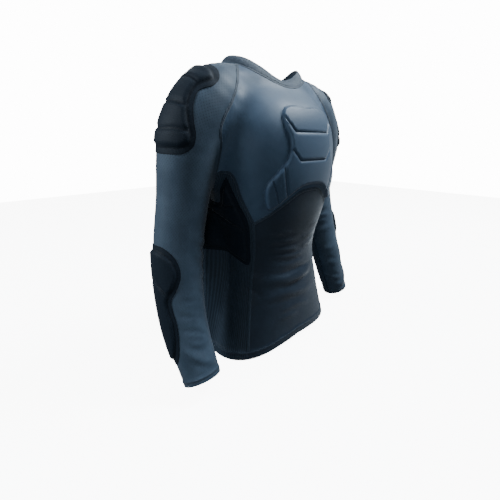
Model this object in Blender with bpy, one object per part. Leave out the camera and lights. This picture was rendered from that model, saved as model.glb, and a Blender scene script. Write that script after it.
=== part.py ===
"""Padded compression shirt, filled out as if it were worn. Metres, +Z up.

X points to the wearer's left and the front faces -Y. Z = 0 is near the top of the neck opening.
Every cloth piece is a patch of one smooth form: a torso of rounded sections, blended into two round
sleeves. A patch is laid out flat between its seams, cut into triangles, set onto the form and given a
wall. The foam pads are made from the points of the panel they are sewn to, moved out.
"""

import math

import bpy
import numpy as np
from mathutils.geometry import delaunay_2d_cdt

# Driving sizes
CLOTH = 0.0015
COLLAR_CLOTH = 0.0020
SEAM_GAP = 0.0003
FOAM = 0.0062
STITCHED_DOWN = 0.0011
PAD_BEVEL = 0.007
HEM_FOLD = 0.020
CUFF_FOLD = 0.012
FOLD_EXTRA = 0.0008
BODY_SPACING = 0.031
SLEEVE_SPACING = 0.026
SLEEVE_STRETCH = 1.35
SEAM_SPACING = 0.021
PAD_SPACING = 0.017
EDGE_ORDER = (0.3, 0.5, 1.0)

# Torso sections: height, half width, depth of the front, depth of the back
TORSO = [
    (-0.700, 0.200, 0.107, 0.112),
    (-0.560, 0.156, 0.096, 0.099),
    (-0.440, 0.134, 0.091, 0.089),
    (-0.320, 0.157, 0.121, 0.098),
    (-0.220, 0.174, 0.134, 0.110),
    (-0.140, 0.168, 0.126, 0.112),
    (-0.100, 0.150, 0.106, 0.110),
    (-0.060, 0.130, 0.064, 0.106),
    (-0.030, 0.112, 0.046, 0.097),
    (0.000, 0.070, 0.020, 0.060),
]
# How much the back half is wider and deeper: height, added half width, added depth
BACK_SPREAD = [
    (-0.700, 0.012, 0.020),
    (-0.560, 0.044, 0.049),
    (-0.440, 0.062, 0.062),
    (-0.380, 0.042, 0.058),
    (-0.330, 0.010, 0.046),
    (-0.290, 0.000, 0.022),
    (-0.250, 0.000, 0.003),
    (-0.220, 0.000, 0.000),
    (0.000, 0.000, 0.000),
]
SECTION_POWER = 2.3
WIDENS_OVER = 0.06
BODY_RADIUS = 0.150

# Sleeve centre lines: distance from the middle, place along Y, height, radius
ARM_RIGHT = [
    (0.060, 0.030, -0.066, 0.030),
    (0.106, 0.016, -0.054, 0.040),
    (0.167, 0.008, -0.094, 0.062),
    (0.216, 0.013, -0.170, 0.060),
    (0.238, 0.021, -0.286, 0.052),
    (0.262, 0.017, -0.406, 0.049),
    (0.278, -0.017, -0.539, 0.044),
    (0.280, -0.074, -0.654, 0.037),
]
ARM_LEFT = [
    (0.060, 0.030, -0.066, 0.030),
    (0.106, 0.016, -0.054, 0.040),
    (0.167, 0.008, -0.094, 0.062),
    (0.216, 0.013, -0.170, 0.060),
    (0.230, 0.033, -0.289, 0.052),
    (0.245, 0.020, -0.412, 0.049),
    (0.258, -0.014, -0.541, 0.044),
    (0.286, -0.036, -0.662, 0.037),
]
ARM_RADIUS = 0.050
ARM_STEPS = 30
CORE = 0.02
UNDERARM_BLEND = 0.030

# Neck seam in plan, and how the collar rises and leans in from it: angle, rise, lean
NECK_MIDDLE = 0.034
NECK_HALF_WIDTH = 0.116
NECK_FRONT = 0.092
NECK_BACK = 0.062
NECK_AT_RAGLAN_FRONT = 64
NECK_AT_RAGLAN_BACK = 118
COLLAR = [
    (0, 0.013, 0.018),
    (60, 0.017, 0.012),
    (90, 0.018, 0.010),
    (180, 0.017, 0.010),
]

# Underarm seam, in the crease between sleeve and body: places along Y, from front to back
UNDERARM = [-0.021, -0.012, -0.002, 0.007, 0.016, 0.025, 0.034, 0.042]
CREASE_SEARCH = ((0.145, 0.215), (-0.360, -0.150))
# Seams on the wearer's left, mirrored for the right: out, along Y, height
RAGLAN_FRONT = [
    (0.122, -0.028, -0.037),
    (0.139, -0.044, -0.065),
    (0.161, -0.054, -0.099),
    (0.178, -0.054, -0.124),
    (0.186, -0.048, -0.145),
    (0.180, -0.034, -0.180),
]
RAGLAN_BACK = [
    (0.170, 0.053, -0.200),
    (0.170, 0.062, -0.160),
    (0.160, 0.078, -0.120),
    (0.135, 0.084, -0.075),
]
# Seams as angle from the middle of the front, height
SIDE_FRONT_TOP = [(83.5, -0.232), (73.0, -0.234), (67.0, -0.287), (59.5, -0.344)]
SIDE_FRONT_LOW = [(59.5, -0.344), (61.5, -0.407), (65.0, -0.475), (65.5, -0.560), (64.5, -0.684)]
SIDE_BACK = [
    (104.5, -0.240),
    (114.0, -0.270),
    (117.0, -0.340),
    (116.0, -0.450),
    (115.0, -0.560),
    (114.0, -0.678),
]
ARCH = [(0.0, -0.275), (15.0, -0.279), (30.0, -0.299), (46.0, -0.324), (59.5, -0.344)]
HEM = [(0.0, -0.669), (30.0, -0.674), (64.5, -0.684), (90.0, -0.679), (114.0, -0.678), (180.0, -0.682)]

# Pads on the body: angle, height, down one side and mirrored for the other
CHEST_PAD = [
    (0.0, -0.100),
    (20.0, -0.098),
    (32.0, -0.104),
    (35.5, -0.117),
    (33.5, -0.140),
    (29.5, -0.166),
    (29.5, -0.190),
    (33.0, -0.210),
    (40.0, -0.231),
    (48.5, -0.257),
    (50.0, -0.275),
    (47.5, -0.312),
    (46.0, -0.314),
    (29.5, -0.289),
    (15.0, -0.269),
    (0.0, -0.265),
]
CHEST_GROOVES = [
    [(-34.0, -0.122), (-23.5, -0.153), (23.5, -0.153), (34.0, -0.122)],
    [(-29.2, -0.180), (-18.7, -0.210), (18.7, -0.210), (29.2, -0.180)],
]
CHEST_RIB_GROOVES = [
    [(34.2, -0.214), (32.8, -0.248), (30.0, -0.290)],
    [(43.8, -0.242), (40.5, -0.270), (38.0, -0.302)],
]
RIB_PAD = [
    (76.5, -0.240),
    (71.0, -0.287),
    (63.8, -0.344),
    (65.3, -0.400),
    (68.5, -0.450),
    (82.0, -0.437),
    (96.0, -0.424),
    (112.0, -0.406),
    (113.0, -0.350),
    (110.5, -0.305),
    (97.0, -0.300),
    (89.0, -0.300),
    (84.0, -0.268),
]
RIB_GROOVES = [
    [(69.2, -0.304), (80.0, -0.303), (89.0, -0.300)],
    [(65.3, -0.362), (79.0, -0.344), (98.0, -0.324), (111.4, -0.314)],
]
# Pads on the sleeve: distance along its centre line, half angle
SHOULDER_MIDDLE = 0
SHOULDER_PAD = [
    (0.089, 0),
    (0.092, 22),
    (0.100, 45),
    (0.112, 57),
    (0.125, 57),
    (0.146, 43),
    (0.165, 45),
    (0.190, 57),
    (0.212, 68),
    (0.228, 68),
    (0.243, 54),
    (0.249, 28),
    (0.251, 0),
]
SHOULDER_GROOVES = [
    [(0.130, 0), (0.134, 25), (0.141, 46)],
    [(0.174, 0), (0.174, 25), (0.176, 49)],
    [(0.215, 0), (0.210, 35), (0.207, 65)],
]
ELBOW_MIDDLE = -12
ELBOW_PAD = [
    (0.430, 0),
    (0.434, 38),
    (0.452, 63),
    (0.476, 75),
    (0.497, 76),
    (0.523, 65),
    (0.545, 49),
    (0.565, 50),
    (0.589, 54),
    (0.625, 50),
    (0.655, 36),
    (0.672, 15),
    (0.674, 0),
]
ELBOW_GROOVES = [[(0.498, 0), (0.518, 30), (0.543, 49)]]

# Largest folds: height of the fold, half width, and its ridge as angle, height
BODY_FOLDS = [
    (0.0030, 0.012, [(-60, -0.494), (-45, -0.487), (-12, -0.483), (40, -0.492)]),
    (0.0022, 0.011, [(-56, -0.540), (-36, -0.537), (0, -0.546), (38, -0.556)]),
    (0.0022, 0.012, [(128, -0.500), (165, -0.486), (205, -0.490), (232, -0.505)]),
    (0.0018, 0.011, [(132, -0.455), (180, -0.446), (228, -0.452)]),
]
# Folds of both sleeves: height, half width, and the ridge as distance along, angle
SLEEVE_FOLDS = [
    (0.0024, 0.009, [(0.652, 40), (0.672, 80), (0.676, 120)]),
    (0.0020, 0.009, [(0.610, 60), (0.622, 95), (0.618, 130)]),
    (0.0018, 0.010, [(0.500, 90), (0.508, 130), (0.502, 160)]),
]

# Colours and finish: red, green, blue, roughness
CHEST_CLOTH = (0.130, 0.175, 0.225, 0.62)
SLEEVE_CLOTH = (0.060, 0.090, 0.130, 0.64)
BODY_CLOTH = (0.014, 0.024, 0.042, 0.60)
SIDE_MESH = (0.008, 0.013, 0.022, 0.66)
PAD_CLOTH = (0.010, 0.018, 0.032, 0.68)
COLLAR_RIB = (0.045, 0.070, 0.105, 0.66)


def through_rows(rows, at):
    """The table's other columns at places along its first column, on smooth curves through the rows."""
    rows = np.array(rows, float)
    key, values = rows[:, 0], rows[:, 1:]
    rise = np.diff(values, axis=0) / np.diff(key)[:, None]
    slope = np.vstack([rise[:1], (rise[1:] + rise[:-1]) / 2, rise[-1:]])
    at = np.clip(np.asarray(at, float), key[0], key[-1])
    i = np.clip(np.searchsorted(key, at) - 1, 0, len(key) - 2)
    width = (key[i + 1] - key[i])[:, None]
    t = (at - key[i])[:, None] / width
    return (
        values[i] * (1 + 2 * t) * (1 - t) ** 2
        + slope[i] * width * t * (1 - t) ** 2
        + values[i + 1] * t * t * (3 - 2 * t)
        + slope[i + 1] * width * t * t * (t - 1)
    )


def lengths_along(points):
    return np.concatenate([[0], np.cumsum(np.linalg.norm(np.diff(points, axis=0), axis=1))])


def smooth_run(rows, spacing):
    """Points along a smooth curve through the rows, about one spacing apart, with both ends kept."""
    rows = np.array(rows, float)
    along = lengths_along(rows)
    count = max(2, round(along[-1] / spacing) + 1)
    return through_rows(np.column_stack([along, rows]), np.linspace(0, along[-1], count))


def straight_run(rows, spacing):
    """Points along straight stretches between the rows, with every row kept."""
    rows = np.array(rows, float)
    parts = [rows[:1]]
    for start, end in zip(rows[:-1], rows[1:]):
        count = max(1, round(np.linalg.norm(end - start) / spacing))
        steps = np.arange(1, count + 1)[:, None] / count
        parts.append(start + steps * (end - start))
    return np.vstack(parts)


# The form that the cloth lies on


def arm_axis(rows):
    """Centre, radius at even steps down a sleeve, from its table."""
    rows = np.array(rows)
    numbered = np.column_stack([np.arange(len(rows)), rows])
    return through_rows(numbered, np.linspace(0, len(rows) - 1, ARM_STEPS + 1))


AXIS = {1: arm_axis(ARM_LEFT), -1: arm_axis(ARM_RIGHT)}
SIDES = {1: "left", -1: "right"}


def torso_gap(p):
    section, added = through_rows(TORSO, p[:, 2]), through_rows(BACK_SPREAD, p[:, 2])
    behind = np.clip(p[:, 1] / WIDENS_OVER, 0, 1)
    half_width = section[:, 0] + added[:, 0] * behind * behind * (3 - 2 * behind)
    depth = np.where(p[:, 1] < 0, section[:, 1], section[:, 2] + added[:, 1])
    across, deep = np.abs(p[:, 0]) / half_width, np.abs(p[:, 1]) / depth
    spread = (across**SECTION_POWER + deep**SECTION_POWER + 1e-12) ** (1 / SECTION_POWER)
    radius = np.hypot(p[:, 0], p[:, 1])
    past_end = np.maximum(p[:, 2] - TORSO[-1][0], 0) + np.maximum(TORSO[0][0] - p[:, 2], 0)
    return radius - radius / spread + past_end


def arm_gap(p, side):
    mirrored = p * [side, 1, 1]
    nearest = np.full(len(p), 9.0)
    for start, end in zip(AXIS[side][:-1], AXIS[side][1:]):
        along = end[:3] - start[:3]
        t = np.clip((mirrored - start[:3]) @ along / (along @ along), 0, 1)
        centre = start[:3] + t[:, None] * along
        radius = start[3] + t * (end[3] - start[3])
        nearest = np.minimum(nearest, np.linalg.norm(mirrored - centre, axis=1) - radius)
    return nearest


def form_gap(p):
    """Distance outside the form, negative inside it, with the underarms blended."""
    torso = torso_gap(p)
    arms = np.minimum(arm_gap(p, 1), arm_gap(p, -1))
    share = np.clip(0.5 + 0.5 * (arms - torso) / UNDERARM_BLEND, 0, 1)
    return arms + (torso - arms) * share - UNDERARM_BLEND * share * (1 - share)


def outward(p):
    step = 0.0005
    slope = np.column_stack([form_gap(p + step * axis) - form_gap(p - step * axis) for axis in np.eye(3)])
    return slope / np.linalg.norm(slope, axis=1)[:, None]


def settle(p):
    """Nearby points moved onto the form."""
    for _ in range(12):
        p = p - 0.8 * form_gap(p)[:, None] * outward(p)
    return p


def march(start, direction):
    """Where rays from inside first leave the form."""
    start, direction = np.broadcast_arrays(np.atleast_2d(start), np.atleast_2d(direction))
    reach = np.zeros(len(start))
    for _ in range(90):
        step = np.clip(-form_gap(start + reach[:, None] * direction), -0.02, 0.02)
        reach = reach + 0.6 * step
    return start + reach[:, None] * direction


# Flat layouts: (angle, height) round the torso, (angle, distance along) round a sleeve


def torso_points(flat):
    angle = np.radians(flat[:, 0])
    direction = np.column_stack([np.sin(angle), -np.cos(angle), 0 * angle])
    return march(CORE * direction + np.outer(flat[:, 1], [0, 0, 1]), direction)


def torso_flat(points, turn=0):
    angle = np.degrees(np.arctan2(points[:, 0], -points[:, 1]))
    return np.column_stack([angle + turn, points[:, 2]])


def arm_frame(side, along):
    """Centre and the outer and front directions across a sleeve, for the arm taken to the left."""
    axis = AXIS[side][:, :3]
    run = lengths_along(axis)
    centre = np.column_stack([np.interp(along, run, axis[:, k]) for k in range(3)])
    tangents = np.gradient(axis, run, axis=0)
    tangent = np.column_stack([np.interp(along, run, tangents[:, k]) for k in range(3)])
    tangent /= np.linalg.norm(tangent, axis=1)[:, None]
    front = np.array([0, -1, 0]) + tangent * tangent[:, 1:2]
    front /= np.linalg.norm(front, axis=1)[:, None]
    return centre, np.cross(front, tangent), front


def sleeve_points(flat, side):
    angle = np.radians(flat[:, 0])[:, None]
    centre, outer, front = arm_frame(side, flat[:, 1])
    direction = np.cos(angle) * outer + np.sin(angle) * front
    mirror = np.array([side, 1, 1])
    return march(centre * mirror, direction * mirror)


def sleeve_flat(points, side):
    axis = AXIS[side][:, :3]
    run = lengths_along(axis)
    fine = np.linspace(0, run[-1], 600)
    centre, outer, front = arm_frame(side, fine)
    mirrored = points * [side, 1, 1]
    nearest = np.linalg.norm(mirrored[:, None] - centre[None], axis=2).argmin(axis=1)
    away = mirrored - centre[nearest]
    angle = np.degrees(np.arctan2((away * front[nearest]).sum(1), (away * outer[nearest]).sum(1)))
    return np.column_stack([angle, fine[nearest]])


# Folds, as ridges that lift the wall, the same for every piece they cross


def fold_lines():
    lines = [(height, width, torso_points(smooth_run(np.array(rows, float) * [0.01, 1], 0.03) * [100, 1]))
             for height, width, rows in BODY_FOLDS]
    for side in SIDES:
        for height, width, rows in SLEEVE_FOLDS:
            flat = smooth_run([(angle * 0.001, along) for along, angle in rows], 0.02) * [1000, 1]
            lines.append((height, width, sleeve_points(flat, side)))
    return lines


def lift_folds(p):
    """How far the folds raise points of the form, fading to both ends of each ridge."""
    lift = np.zeros(len(p))
    for height, width, line in FOLD_LINES:
        run = lengths_along(line)
        fine = np.linspace(0, run[-1], 60)
        ridge = np.column_stack([np.interp(fine, run, line[:, k]) for k in range(3)])
        apart = np.linalg.norm(p[:, None] - ridge[None], axis=2)
        nearest = apart.argmin(axis=1)
        fade = np.sin(math.pi * np.clip(fine[nearest] / run[-1], 0.02, 0.98)) ** 0.5
        lift = np.maximum(lift, height * fade * np.exp(-((apart.min(axis=1) / width) ** 2)))
    return lift


FOLD_LINES = fold_lines()

# Seams, each a run of points shared by the pieces on both sides


def neck_ring(angles):
    """Points of the neck seam on the form, by angle round the neck from the front."""
    turn = np.radians(angles)
    depth = np.where(np.cos(turn) > 0, NECK_FRONT, NECK_BACK)
    x = NECK_HALF_WIDTH * np.sin(turn)
    y = NECK_MIDDLE - depth * np.cos(turn)
    return march(np.column_stack([x, y, np.full(len(x), -0.12)]), [0, 0, 1])


def neck_run(start, end):
    steps = max(3, round(abs(end - start) / 12))
    return neck_ring(np.linspace(start, end, steps + 1))


def form_run(rows, side, first=None, last=None):
    """A seam through 3-D rows, set onto the form, with ends that other seams share."""
    rows = [np.array(row, float) * [side, 1, 1] for row in rows]
    if first is not None:
        rows = [first] + rows
    if last is not None:
        rows = rows + [last]
    points = settle(smooth_run(rows, SEAM_SPACING))
    if first is not None:
        points[0] = first
    if last is not None:
        points[-1] = last
    return points


def underarm_crease(side, places):
    """The highest free points between a sleeve and the body, at places along Y."""
    across = np.linspace(*CREASE_SEARCH[0], 71)
    count = len(places)
    low, high = (np.full(count, height) for height in CREASE_SEARCH[1])
    for _ in range(24):
        middle = (low + high) / 2
        tried = np.column_stack([
            np.tile(across * side, count),
            np.repeat(places, len(across)),
            np.repeat(middle, len(across)),
        ])
        gaps = form_gap(tried).reshape(count, -1)
        free = gaps.max(axis=1) > 0
        low = np.where(free, middle, low)
        high = np.where(free, high, middle)
    return np.column_stack([side * across[gaps.argmax(axis=1)], places, high])


def body_run(rows, side=1, first=None, last=None):
    """A seam through rows of angle and height, on the torso."""
    scale = np.array([math.radians(1) * BODY_RADIUS, 1])
    flat = smooth_run(np.array(rows, float) * [side, 1] * scale, SEAM_SPACING) / scale
    points = torso_points(flat)
    if first is not None:
        points[0] = first
    if last is not None:
        points[-1] = last
    return points


def hem_run(start, end):
    """The hem's edge between two angles, at the height that the hem table gives."""
    count = round(abs(end - start) / 7.5) + 1
    angles = np.linspace(start, end, count)
    heights = through_rows(HEM, np.abs((angles + 180) % 360 - 180))[:, 0]
    return torso_points(np.column_stack([angles, heights]))


def make_seams():
    seams = {}
    for side in SIDES:
        front_corner = neck_ring([side * NECK_AT_RAGLAN_FRONT])[0]
        back_corner = neck_ring([side * NECK_AT_RAGLAN_BACK])[0]
        under = underarm_crease(side, UNDERARM)
        front = form_run(RAGLAN_FRONT, side, first=front_corner, last=under[0])
        back = form_run(RAGLAN_BACK, side, first=under[-1], last=back_corner)
        lowest = under[:, 2].argmin()
        seams["raglan front", side] = front
        seams["raglan back", side] = back
        seams["under front", side] = under[: lowest + 1]
        seams["under back", side] = under[lowest:]
        low = body_run(SIDE_FRONT_LOW, side)
        seams["side low", side] = low
        seams["side top", side] = body_run(SIDE_FRONT_TOP, side, first=front[-1], last=low[0])
        seams["side back", side] = body_run(SIDE_BACK, side, first=back[0])
        seams["neck sleeve", side] = neck_run(side * NECK_AT_RAGLAN_FRONT, side * NECK_AT_RAGLAN_BACK)
        hem = hem_run(side * SIDE_FRONT_LOW[-1][0], side * SIDE_BACK[-1][0])
        hem[0], hem[-1] = low[-1], seams["side back", side][-1]
        seams["hem side", side] = hem
    arch = [(-angle, height) for angle, height in ARCH[:0:-1]] + ARCH
    seams["arch"] = body_run(arch, first=seams["side low", -1][0], last=seams["side low", 1][0])
    seams["neck front"] = neck_run(-NECK_AT_RAGLAN_FRONT, NECK_AT_RAGLAN_FRONT)
    seams["neck back"] = neck_run(NECK_AT_RAGLAN_BACK, 360 - NECK_AT_RAGLAN_BACK)
    front_hem = hem_run(-SIDE_FRONT_LOW[-1][0], SIDE_FRONT_LOW[-1][0])
    front_hem[0], front_hem[-1] = seams["hem side", -1][0], seams["hem side", 1][0]
    back_hem = hem_run(SIDE_BACK[-1][0], 360 - SIDE_BACK[-1][0])
    back_hem[0], back_hem[-1] = seams["hem side", 1][-1], seams["hem side", -1][-1]
    seams["hem front"], seams["hem back"] = front_hem, back_hem
    return seams


SEAMS = make_seams()

# Cutting a panel


def inside(points, loop):
    """Which flat points lie inside a closed outline."""
    found = np.zeros(len(points), bool)
    for start, end in zip(loop, np.roll(loop, -1, axis=0)):
        crosses = (start[1] > points[:, 1]) != (end[1] > points[:, 1])
        with np.errstate(divide="ignore", invalid="ignore"):
            at = start[0] + (points[:, 1] - start[1]) * (end[0] - start[0]) / (end[1] - start[1])
        found ^= crosses & (points[:, 0] < at)
    return found


def nearest_run(points, runs):
    """Distance of flat points from the nearest of several runs of straight stretches."""
    best = np.full(len(points), 9.0)
    for run in runs:
        for start, end in zip(run[:-1], run[1:]):
            along = end - start
            t = np.clip((points - start) @ along / max(along @ along, 1e-12), 0, 1)
            best = np.minimum(best, np.linalg.norm(points - start - t[:, None] * along, axis=1))
    return best


def lattice(loop, spacing):
    """Points of a triangular grid over an outline's box."""
    low, high = loop.min(axis=0), loop.max(axis=0)
    rows = np.arange(low[1], high[1], spacing * math.sqrt(0.75))
    found = []
    for number, y in enumerate(rows):
        x = np.arange(low[0] + spacing / 2 * (number % 2), high[0], spacing)
        found.append(np.column_stack([x, np.full(len(x), y)]))
    return np.vstack(found)


def crown_points(runs, outline, spacing):
    """Points one bevel's width inside a pad's outline and to both sides of its grooves."""
    found = []
    for run in runs:
        along = lengths_along(run)
        count = max(2, round(along[-1] / spacing))
        middles = (np.arange(count) + 0.5) / count * along[-1]
        at = np.column_stack([np.interp(middles, along, run[:, k]) for k in range(2)])
        ahead = np.column_stack([np.interp(middles + 0.001, along, run[:, k]) for k in range(2)])
        behind = np.column_stack([np.interp(middles - 0.001, along, run[:, k]) for k in range(2)])
        side = (ahead - behind)[:, ::-1] * [1, -1]
        side /= np.linalg.norm(side, axis=1)[:, None]
        found += [at + PAD_BEVEL * side, at - PAD_BEVEL * side]
    found = np.vstack(found)
    found = found[inside(found, outline) & (nearest_run(found, runs) > 0.9 * PAD_BEVEL)]
    kept = []
    for point in found:
        if all(np.linalg.norm(point - other) > 0.5 * spacing for other in kept):
            kept.append(point)
    return np.array(kept)


class Panel:
    """One cut piece: points on the form, their triangles, and which lie on a pad."""

    def __init__(self, pieces, place, scale, spacing, pads=(), ridges=(), weld=None):
        self.scale = np.array(scale, float)
        flats = [flat[:-1] for flat, _ in pieces]
        fixed = [points[:-1] for _, points in pieces]
        loop = np.vstack(flats) * self.scale
        loop_points = np.vstack(fixed)
        extra, edges = [], []
        self.pads = []
        count = len(loop)
        for outline, grooves in pads:
            runs = [np.vstack([outline, outline[:1]])] + grooves
            for number, run in enumerate([outline] + grooves):
                closed = number == 0
                edges += [(count + k, count + k + 1) for k in range(len(run) - 1)]
                if closed:
                    edges.append((count + len(run) - 1, count))
                extra.append(run)
                count += len(run)
            crown = crown_points(runs, outline, PAD_SPACING)
            extra.append(crown)
            count += len(crown)
            self.pads.append((outline, runs))
        for ridge in ridges:
            edges += [(count + k, count + k + 1) for k in range(len(ridge) - 1)]
            extra.append(ridge)
            count += len(ridge)
        fixed_flat = np.vstack([loop] + extra)
        grid = lattice(loop, spacing)
        grid = grid[inside(grid, loop)]
        apart = np.linalg.norm(grid[:, None] - fixed_flat[None], axis=2).min(axis=1)
        lines = [np.vstack([loop, loop[:1]])] + [run for _, pad_runs in self.pads for run in pad_runs]
        near_line = nearest_run(grid, lines)
        grid = grid[(apart > 0.62 * spacing) & (near_line > 0.4 * spacing)]
        flat = np.vstack([fixed_flat, grid])
        result = delaunay_2d_cdt([tuple(point) for point in flat], edges, [list(range(len(loop)))], 1, 1e-7)
        self.flat = np.array([tuple(point) for point in result[0]])
        self.triangles = np.array([face for face in result[2] if len(face) == 3])
        self.centres = self.flat[self.triangles].mean(axis=1)
        self.points = place(self.flat / self.scale)
        numbers = {old: new for new, olds in enumerate(result[3]) for old in olds}
        for old, point in enumerate(loop_points):
            self.points[numbers[old]] = point
        if weld:
            swap = np.arange(len(self.flat))
            for first, second in zip(*weld):
                swap[numbers[second]] = numbers[first]
            self.triangles = swap[self.triangles]
        self.normals = outward(self.points)
        self.face_outward()
        self.inset_seams()
        self.lift = lift_folds(self.points)

    def face_outward(self):
        a, b, c = (self.points[self.triangles[:, k]] for k in range(3))
        facing = np.cross(b - a, c - a)
        normal = self.normals[self.triangles].sum(axis=1)
        if (facing * normal).sum() < 0:
            self.triangles = self.triangles[:, ::-1]

    def inset_seams(self):
        """Draws each edge back by half the seam gap, within the surface."""
        inward = {}
        for a, b in rim_edges(self.triangles):
            along = self.points[b] - self.points[a]
            for corner in (a, b):
                side = np.cross(self.normals[corner], along)
                inward.setdefault(corner, []).append(side / np.linalg.norm(side))
        moved = self.points.copy()
        for corner, sides in inward.items():
            total = np.sum(sides, axis=0) / len(sides)
            moved[corner] += SEAM_GAP / 2 * total / max(total @ total, 0.25)
        self.points = moved

    def at(self, offset):
        """The points moved out from the form by an offset and the folds."""
        return self.points + (self.lift + offset)[:, None] * self.normals


def rim_edges(triangles):
    directed = {}
    for face in triangles:
        for a, b in zip(face, np.roll(face, -1)):
            directed[int(a), int(b)] = True
    return [edge for edge in directed if edge[::-1] not in directed]


def clad(name, inner, outer, triangles, finish):
    """One closed wall between two layers of the same triangles."""
    used = np.unique(triangles)
    number = {int(old): new for new, old in enumerate(used)}
    faces = [[number[int(k)] for k in face] for face in triangles]
    rim = rim_edges(np.array(faces))
    count = len(used)
    walls = list(faces)
    walls += [[k + count for k in reversed(face)] for face in faces]
    for a, b in rim:
        # Both pieces at a seam split their cut edges along the same diagonals.
        if (outer[used[a]] - outer[used[b]]) @ EDGE_ORDER > 0:
            walls += [[b, a, a + count], [b, a + count, b + count]]
        else:
            walls += [[b, a, b + count], [a, a + count, b + count]]
    mesh = bpy.data.meshes.new(name)
    mesh.from_pydata(np.vstack([outer[used], inner[used]]).tolist(), [], walls)
    mesh.validate()
    mesh.shade_smooth()
    mesh.set_sharp_from_angle(angle=math.radians(40))
    piece = bpy.data.objects.new(name, mesh)
    bpy.context.scene.collection.objects.link(piece)
    mesh.materials.append(cloth_material(name, finish))
    return piece


def cloth_material(name, finish):
    material = bpy.data.materials.new(name)
    material.use_nodes = True
    shader = material.node_tree.nodes["Principled BSDF"]
    shader.inputs["Base Color"].default_value = (*finish[:3], 1)
    shader.inputs["Roughness"].default_value = finish[3]
    shader.inputs["Metallic"].default_value = 0
    return material


def make_panel_wall(name, panel, finish, cloth=CLOTH, hem=None):
    extra = np.zeros(len(panel.points)) if hem is None else FOLD_EXTRA * hem
    panel.outer = cloth + extra
    clad(name, panel.at(0), panel.at(panel.outer), panel.triangles, finish)


def make_pad(name, panel, number, finish):
    """A foam pad on a panel: its points moved out, raised between its grooves."""
    outline, runs = panel.pads[number]
    triangles = panel.triangles[inside(panel.centres, outline)]
    edge = np.clip(nearest_run(panel.flat, runs) / PAD_BEVEL, 0, 1)
    rise = STITCHED_DOWN + (FOAM - STITCHED_DOWN) * edge * (2 - edge)
    base = panel.outer + SEAM_GAP
    clad(name, panel.at(base), panel.at(base + rise), triangles, finish)


# The pieces

BODY_SCALE = (math.radians(1) * BODY_RADIUS, 1)
ARM_SCALE = (math.radians(1) * ARM_RADIUS, 1 / SLEEVE_STRETCH)


def on_body(seam, turn=0):
    return torso_flat(seam, turn), seam


def closed_outline(rows, scale, spacing):
    """A pad's outline as a closed smooth run of flat points."""
    rows = np.array(rows + rows[:1], float) * scale
    return smooth_run(rows, spacing)[:-1]


def mirrored_rows(rows):
    """Rows down one side of a pad, and back up the other."""
    return rows + [(-angle, other) for angle, other in rows[-2:0:-1]]


def hem_share(panel):
    """1 on the turned-up hem, 0 above it."""
    angles = panel.flat[:, 0] / panel.scale[0]
    edge = through_rows(HEM, np.abs((angles + 180) % 360 - 180))[:, 0]
    return np.clip((edge + HEM_FOLD + 0.004 - panel.flat[:, 1]) / 0.004, 0, 1)


def hem_line(start, end):
    """A run just above the hem, where its fold is stitched, clear of the side seams."""
    angles = np.linspace(start, end, round(abs(end - start) / 9) + 1)
    heights = through_rows(HEM, np.abs((angles + 180) % 360 - 180))[:, 0] + HEM_FOLD
    return np.column_stack([angles, heights]) * BODY_SCALE


def body_ridges(low, high):
    """Ridge runs of the body folds whose angles lie in a range."""
    found = []
    for _, _, rows in BODY_FOLDS:
        if low < rows[0][0] and rows[-1][0] < high:
            found.append(smooth_run(np.array(rows, float) * BODY_SCALE, BODY_SPACING))
    return found


def make_front_chest():
    pieces = [
        on_body(SEAMS["arch"]),
        on_body(SEAMS["side top", 1][::-1]),
        on_body(SEAMS["raglan front", 1][::-1]),
        on_body(SEAMS["neck front"][::-1]),
        on_body(SEAMS["raglan front", -1]),
        on_body(SEAMS["side top", -1]),
    ]
    outline = closed_outline(mirrored_rows(CHEST_PAD), BODY_SCALE, PAD_SPACING)
    grooves = [straight_run(np.array(rows) * BODY_SCALE, PAD_SPACING) for rows in CHEST_GROOVES]
    for rows in CHEST_RIB_GROOVES:
        for side in SIDES:
            grooves.append(smooth_run(np.array(rows) * [side, 1] * BODY_SCALE, PAD_SPACING))
    panel = Panel(pieces, torso_points, BODY_SCALE, BODY_SPACING, pads=[(outline, shorten(grooves, outline))])
    make_panel_wall("front_chest", panel, CHEST_CLOTH)
    make_pad("chest_pad", panel, 0, CHEST_CLOTH)


def shorten(grooves, outline):
    """Grooves with the points that fall outside a pad's outline, or onto it, left off."""
    closed = np.vstack([outline, outline[:1]])
    kept = []
    for groove in grooves:
        clear = inside(groove, outline) & (nearest_run(groove, [closed]) > 0.004)
        kept.append(groove[clear])
    return kept


def make_front_belly():
    pieces = [
        on_body(SEAMS["hem front"]),
        on_body(SEAMS["side low", 1][::-1]),
        on_body(SEAMS["arch"][::-1]),
        on_body(SEAMS["side low", -1]),
    ]
    ridges = body_ridges(-70, 70) + [hem_line(-60, 60)]
    panel = Panel(pieces, torso_points, BODY_SCALE, BODY_SPACING, ridges=ridges)
    make_panel_wall("front_belly", panel, BODY_CLOTH, hem=hem_share(panel))


def make_back():
    pieces = [
        on_body(SEAMS["hem back"]),
        on_body(SEAMS["side back", -1][::-1]),
        on_body(SEAMS["raglan back", -1]),
        on_body(SEAMS["neck back"][::-1]),
        on_body(SEAMS["raglan back", 1][::-1]),
        on_body(SEAMS["side back", 1]),
    ]
    pieces = [(flat + (flat[:, :1] < 0) * [360, 0], points) for flat, points in pieces]
    ridges = body_ridges(115, 245) + [hem_line(118, 242)]
    panel = Panel(pieces, torso_points, BODY_SCALE, BODY_SPACING, ridges=ridges)
    make_panel_wall("back", panel, BODY_CLOTH, hem=hem_share(panel))


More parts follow.
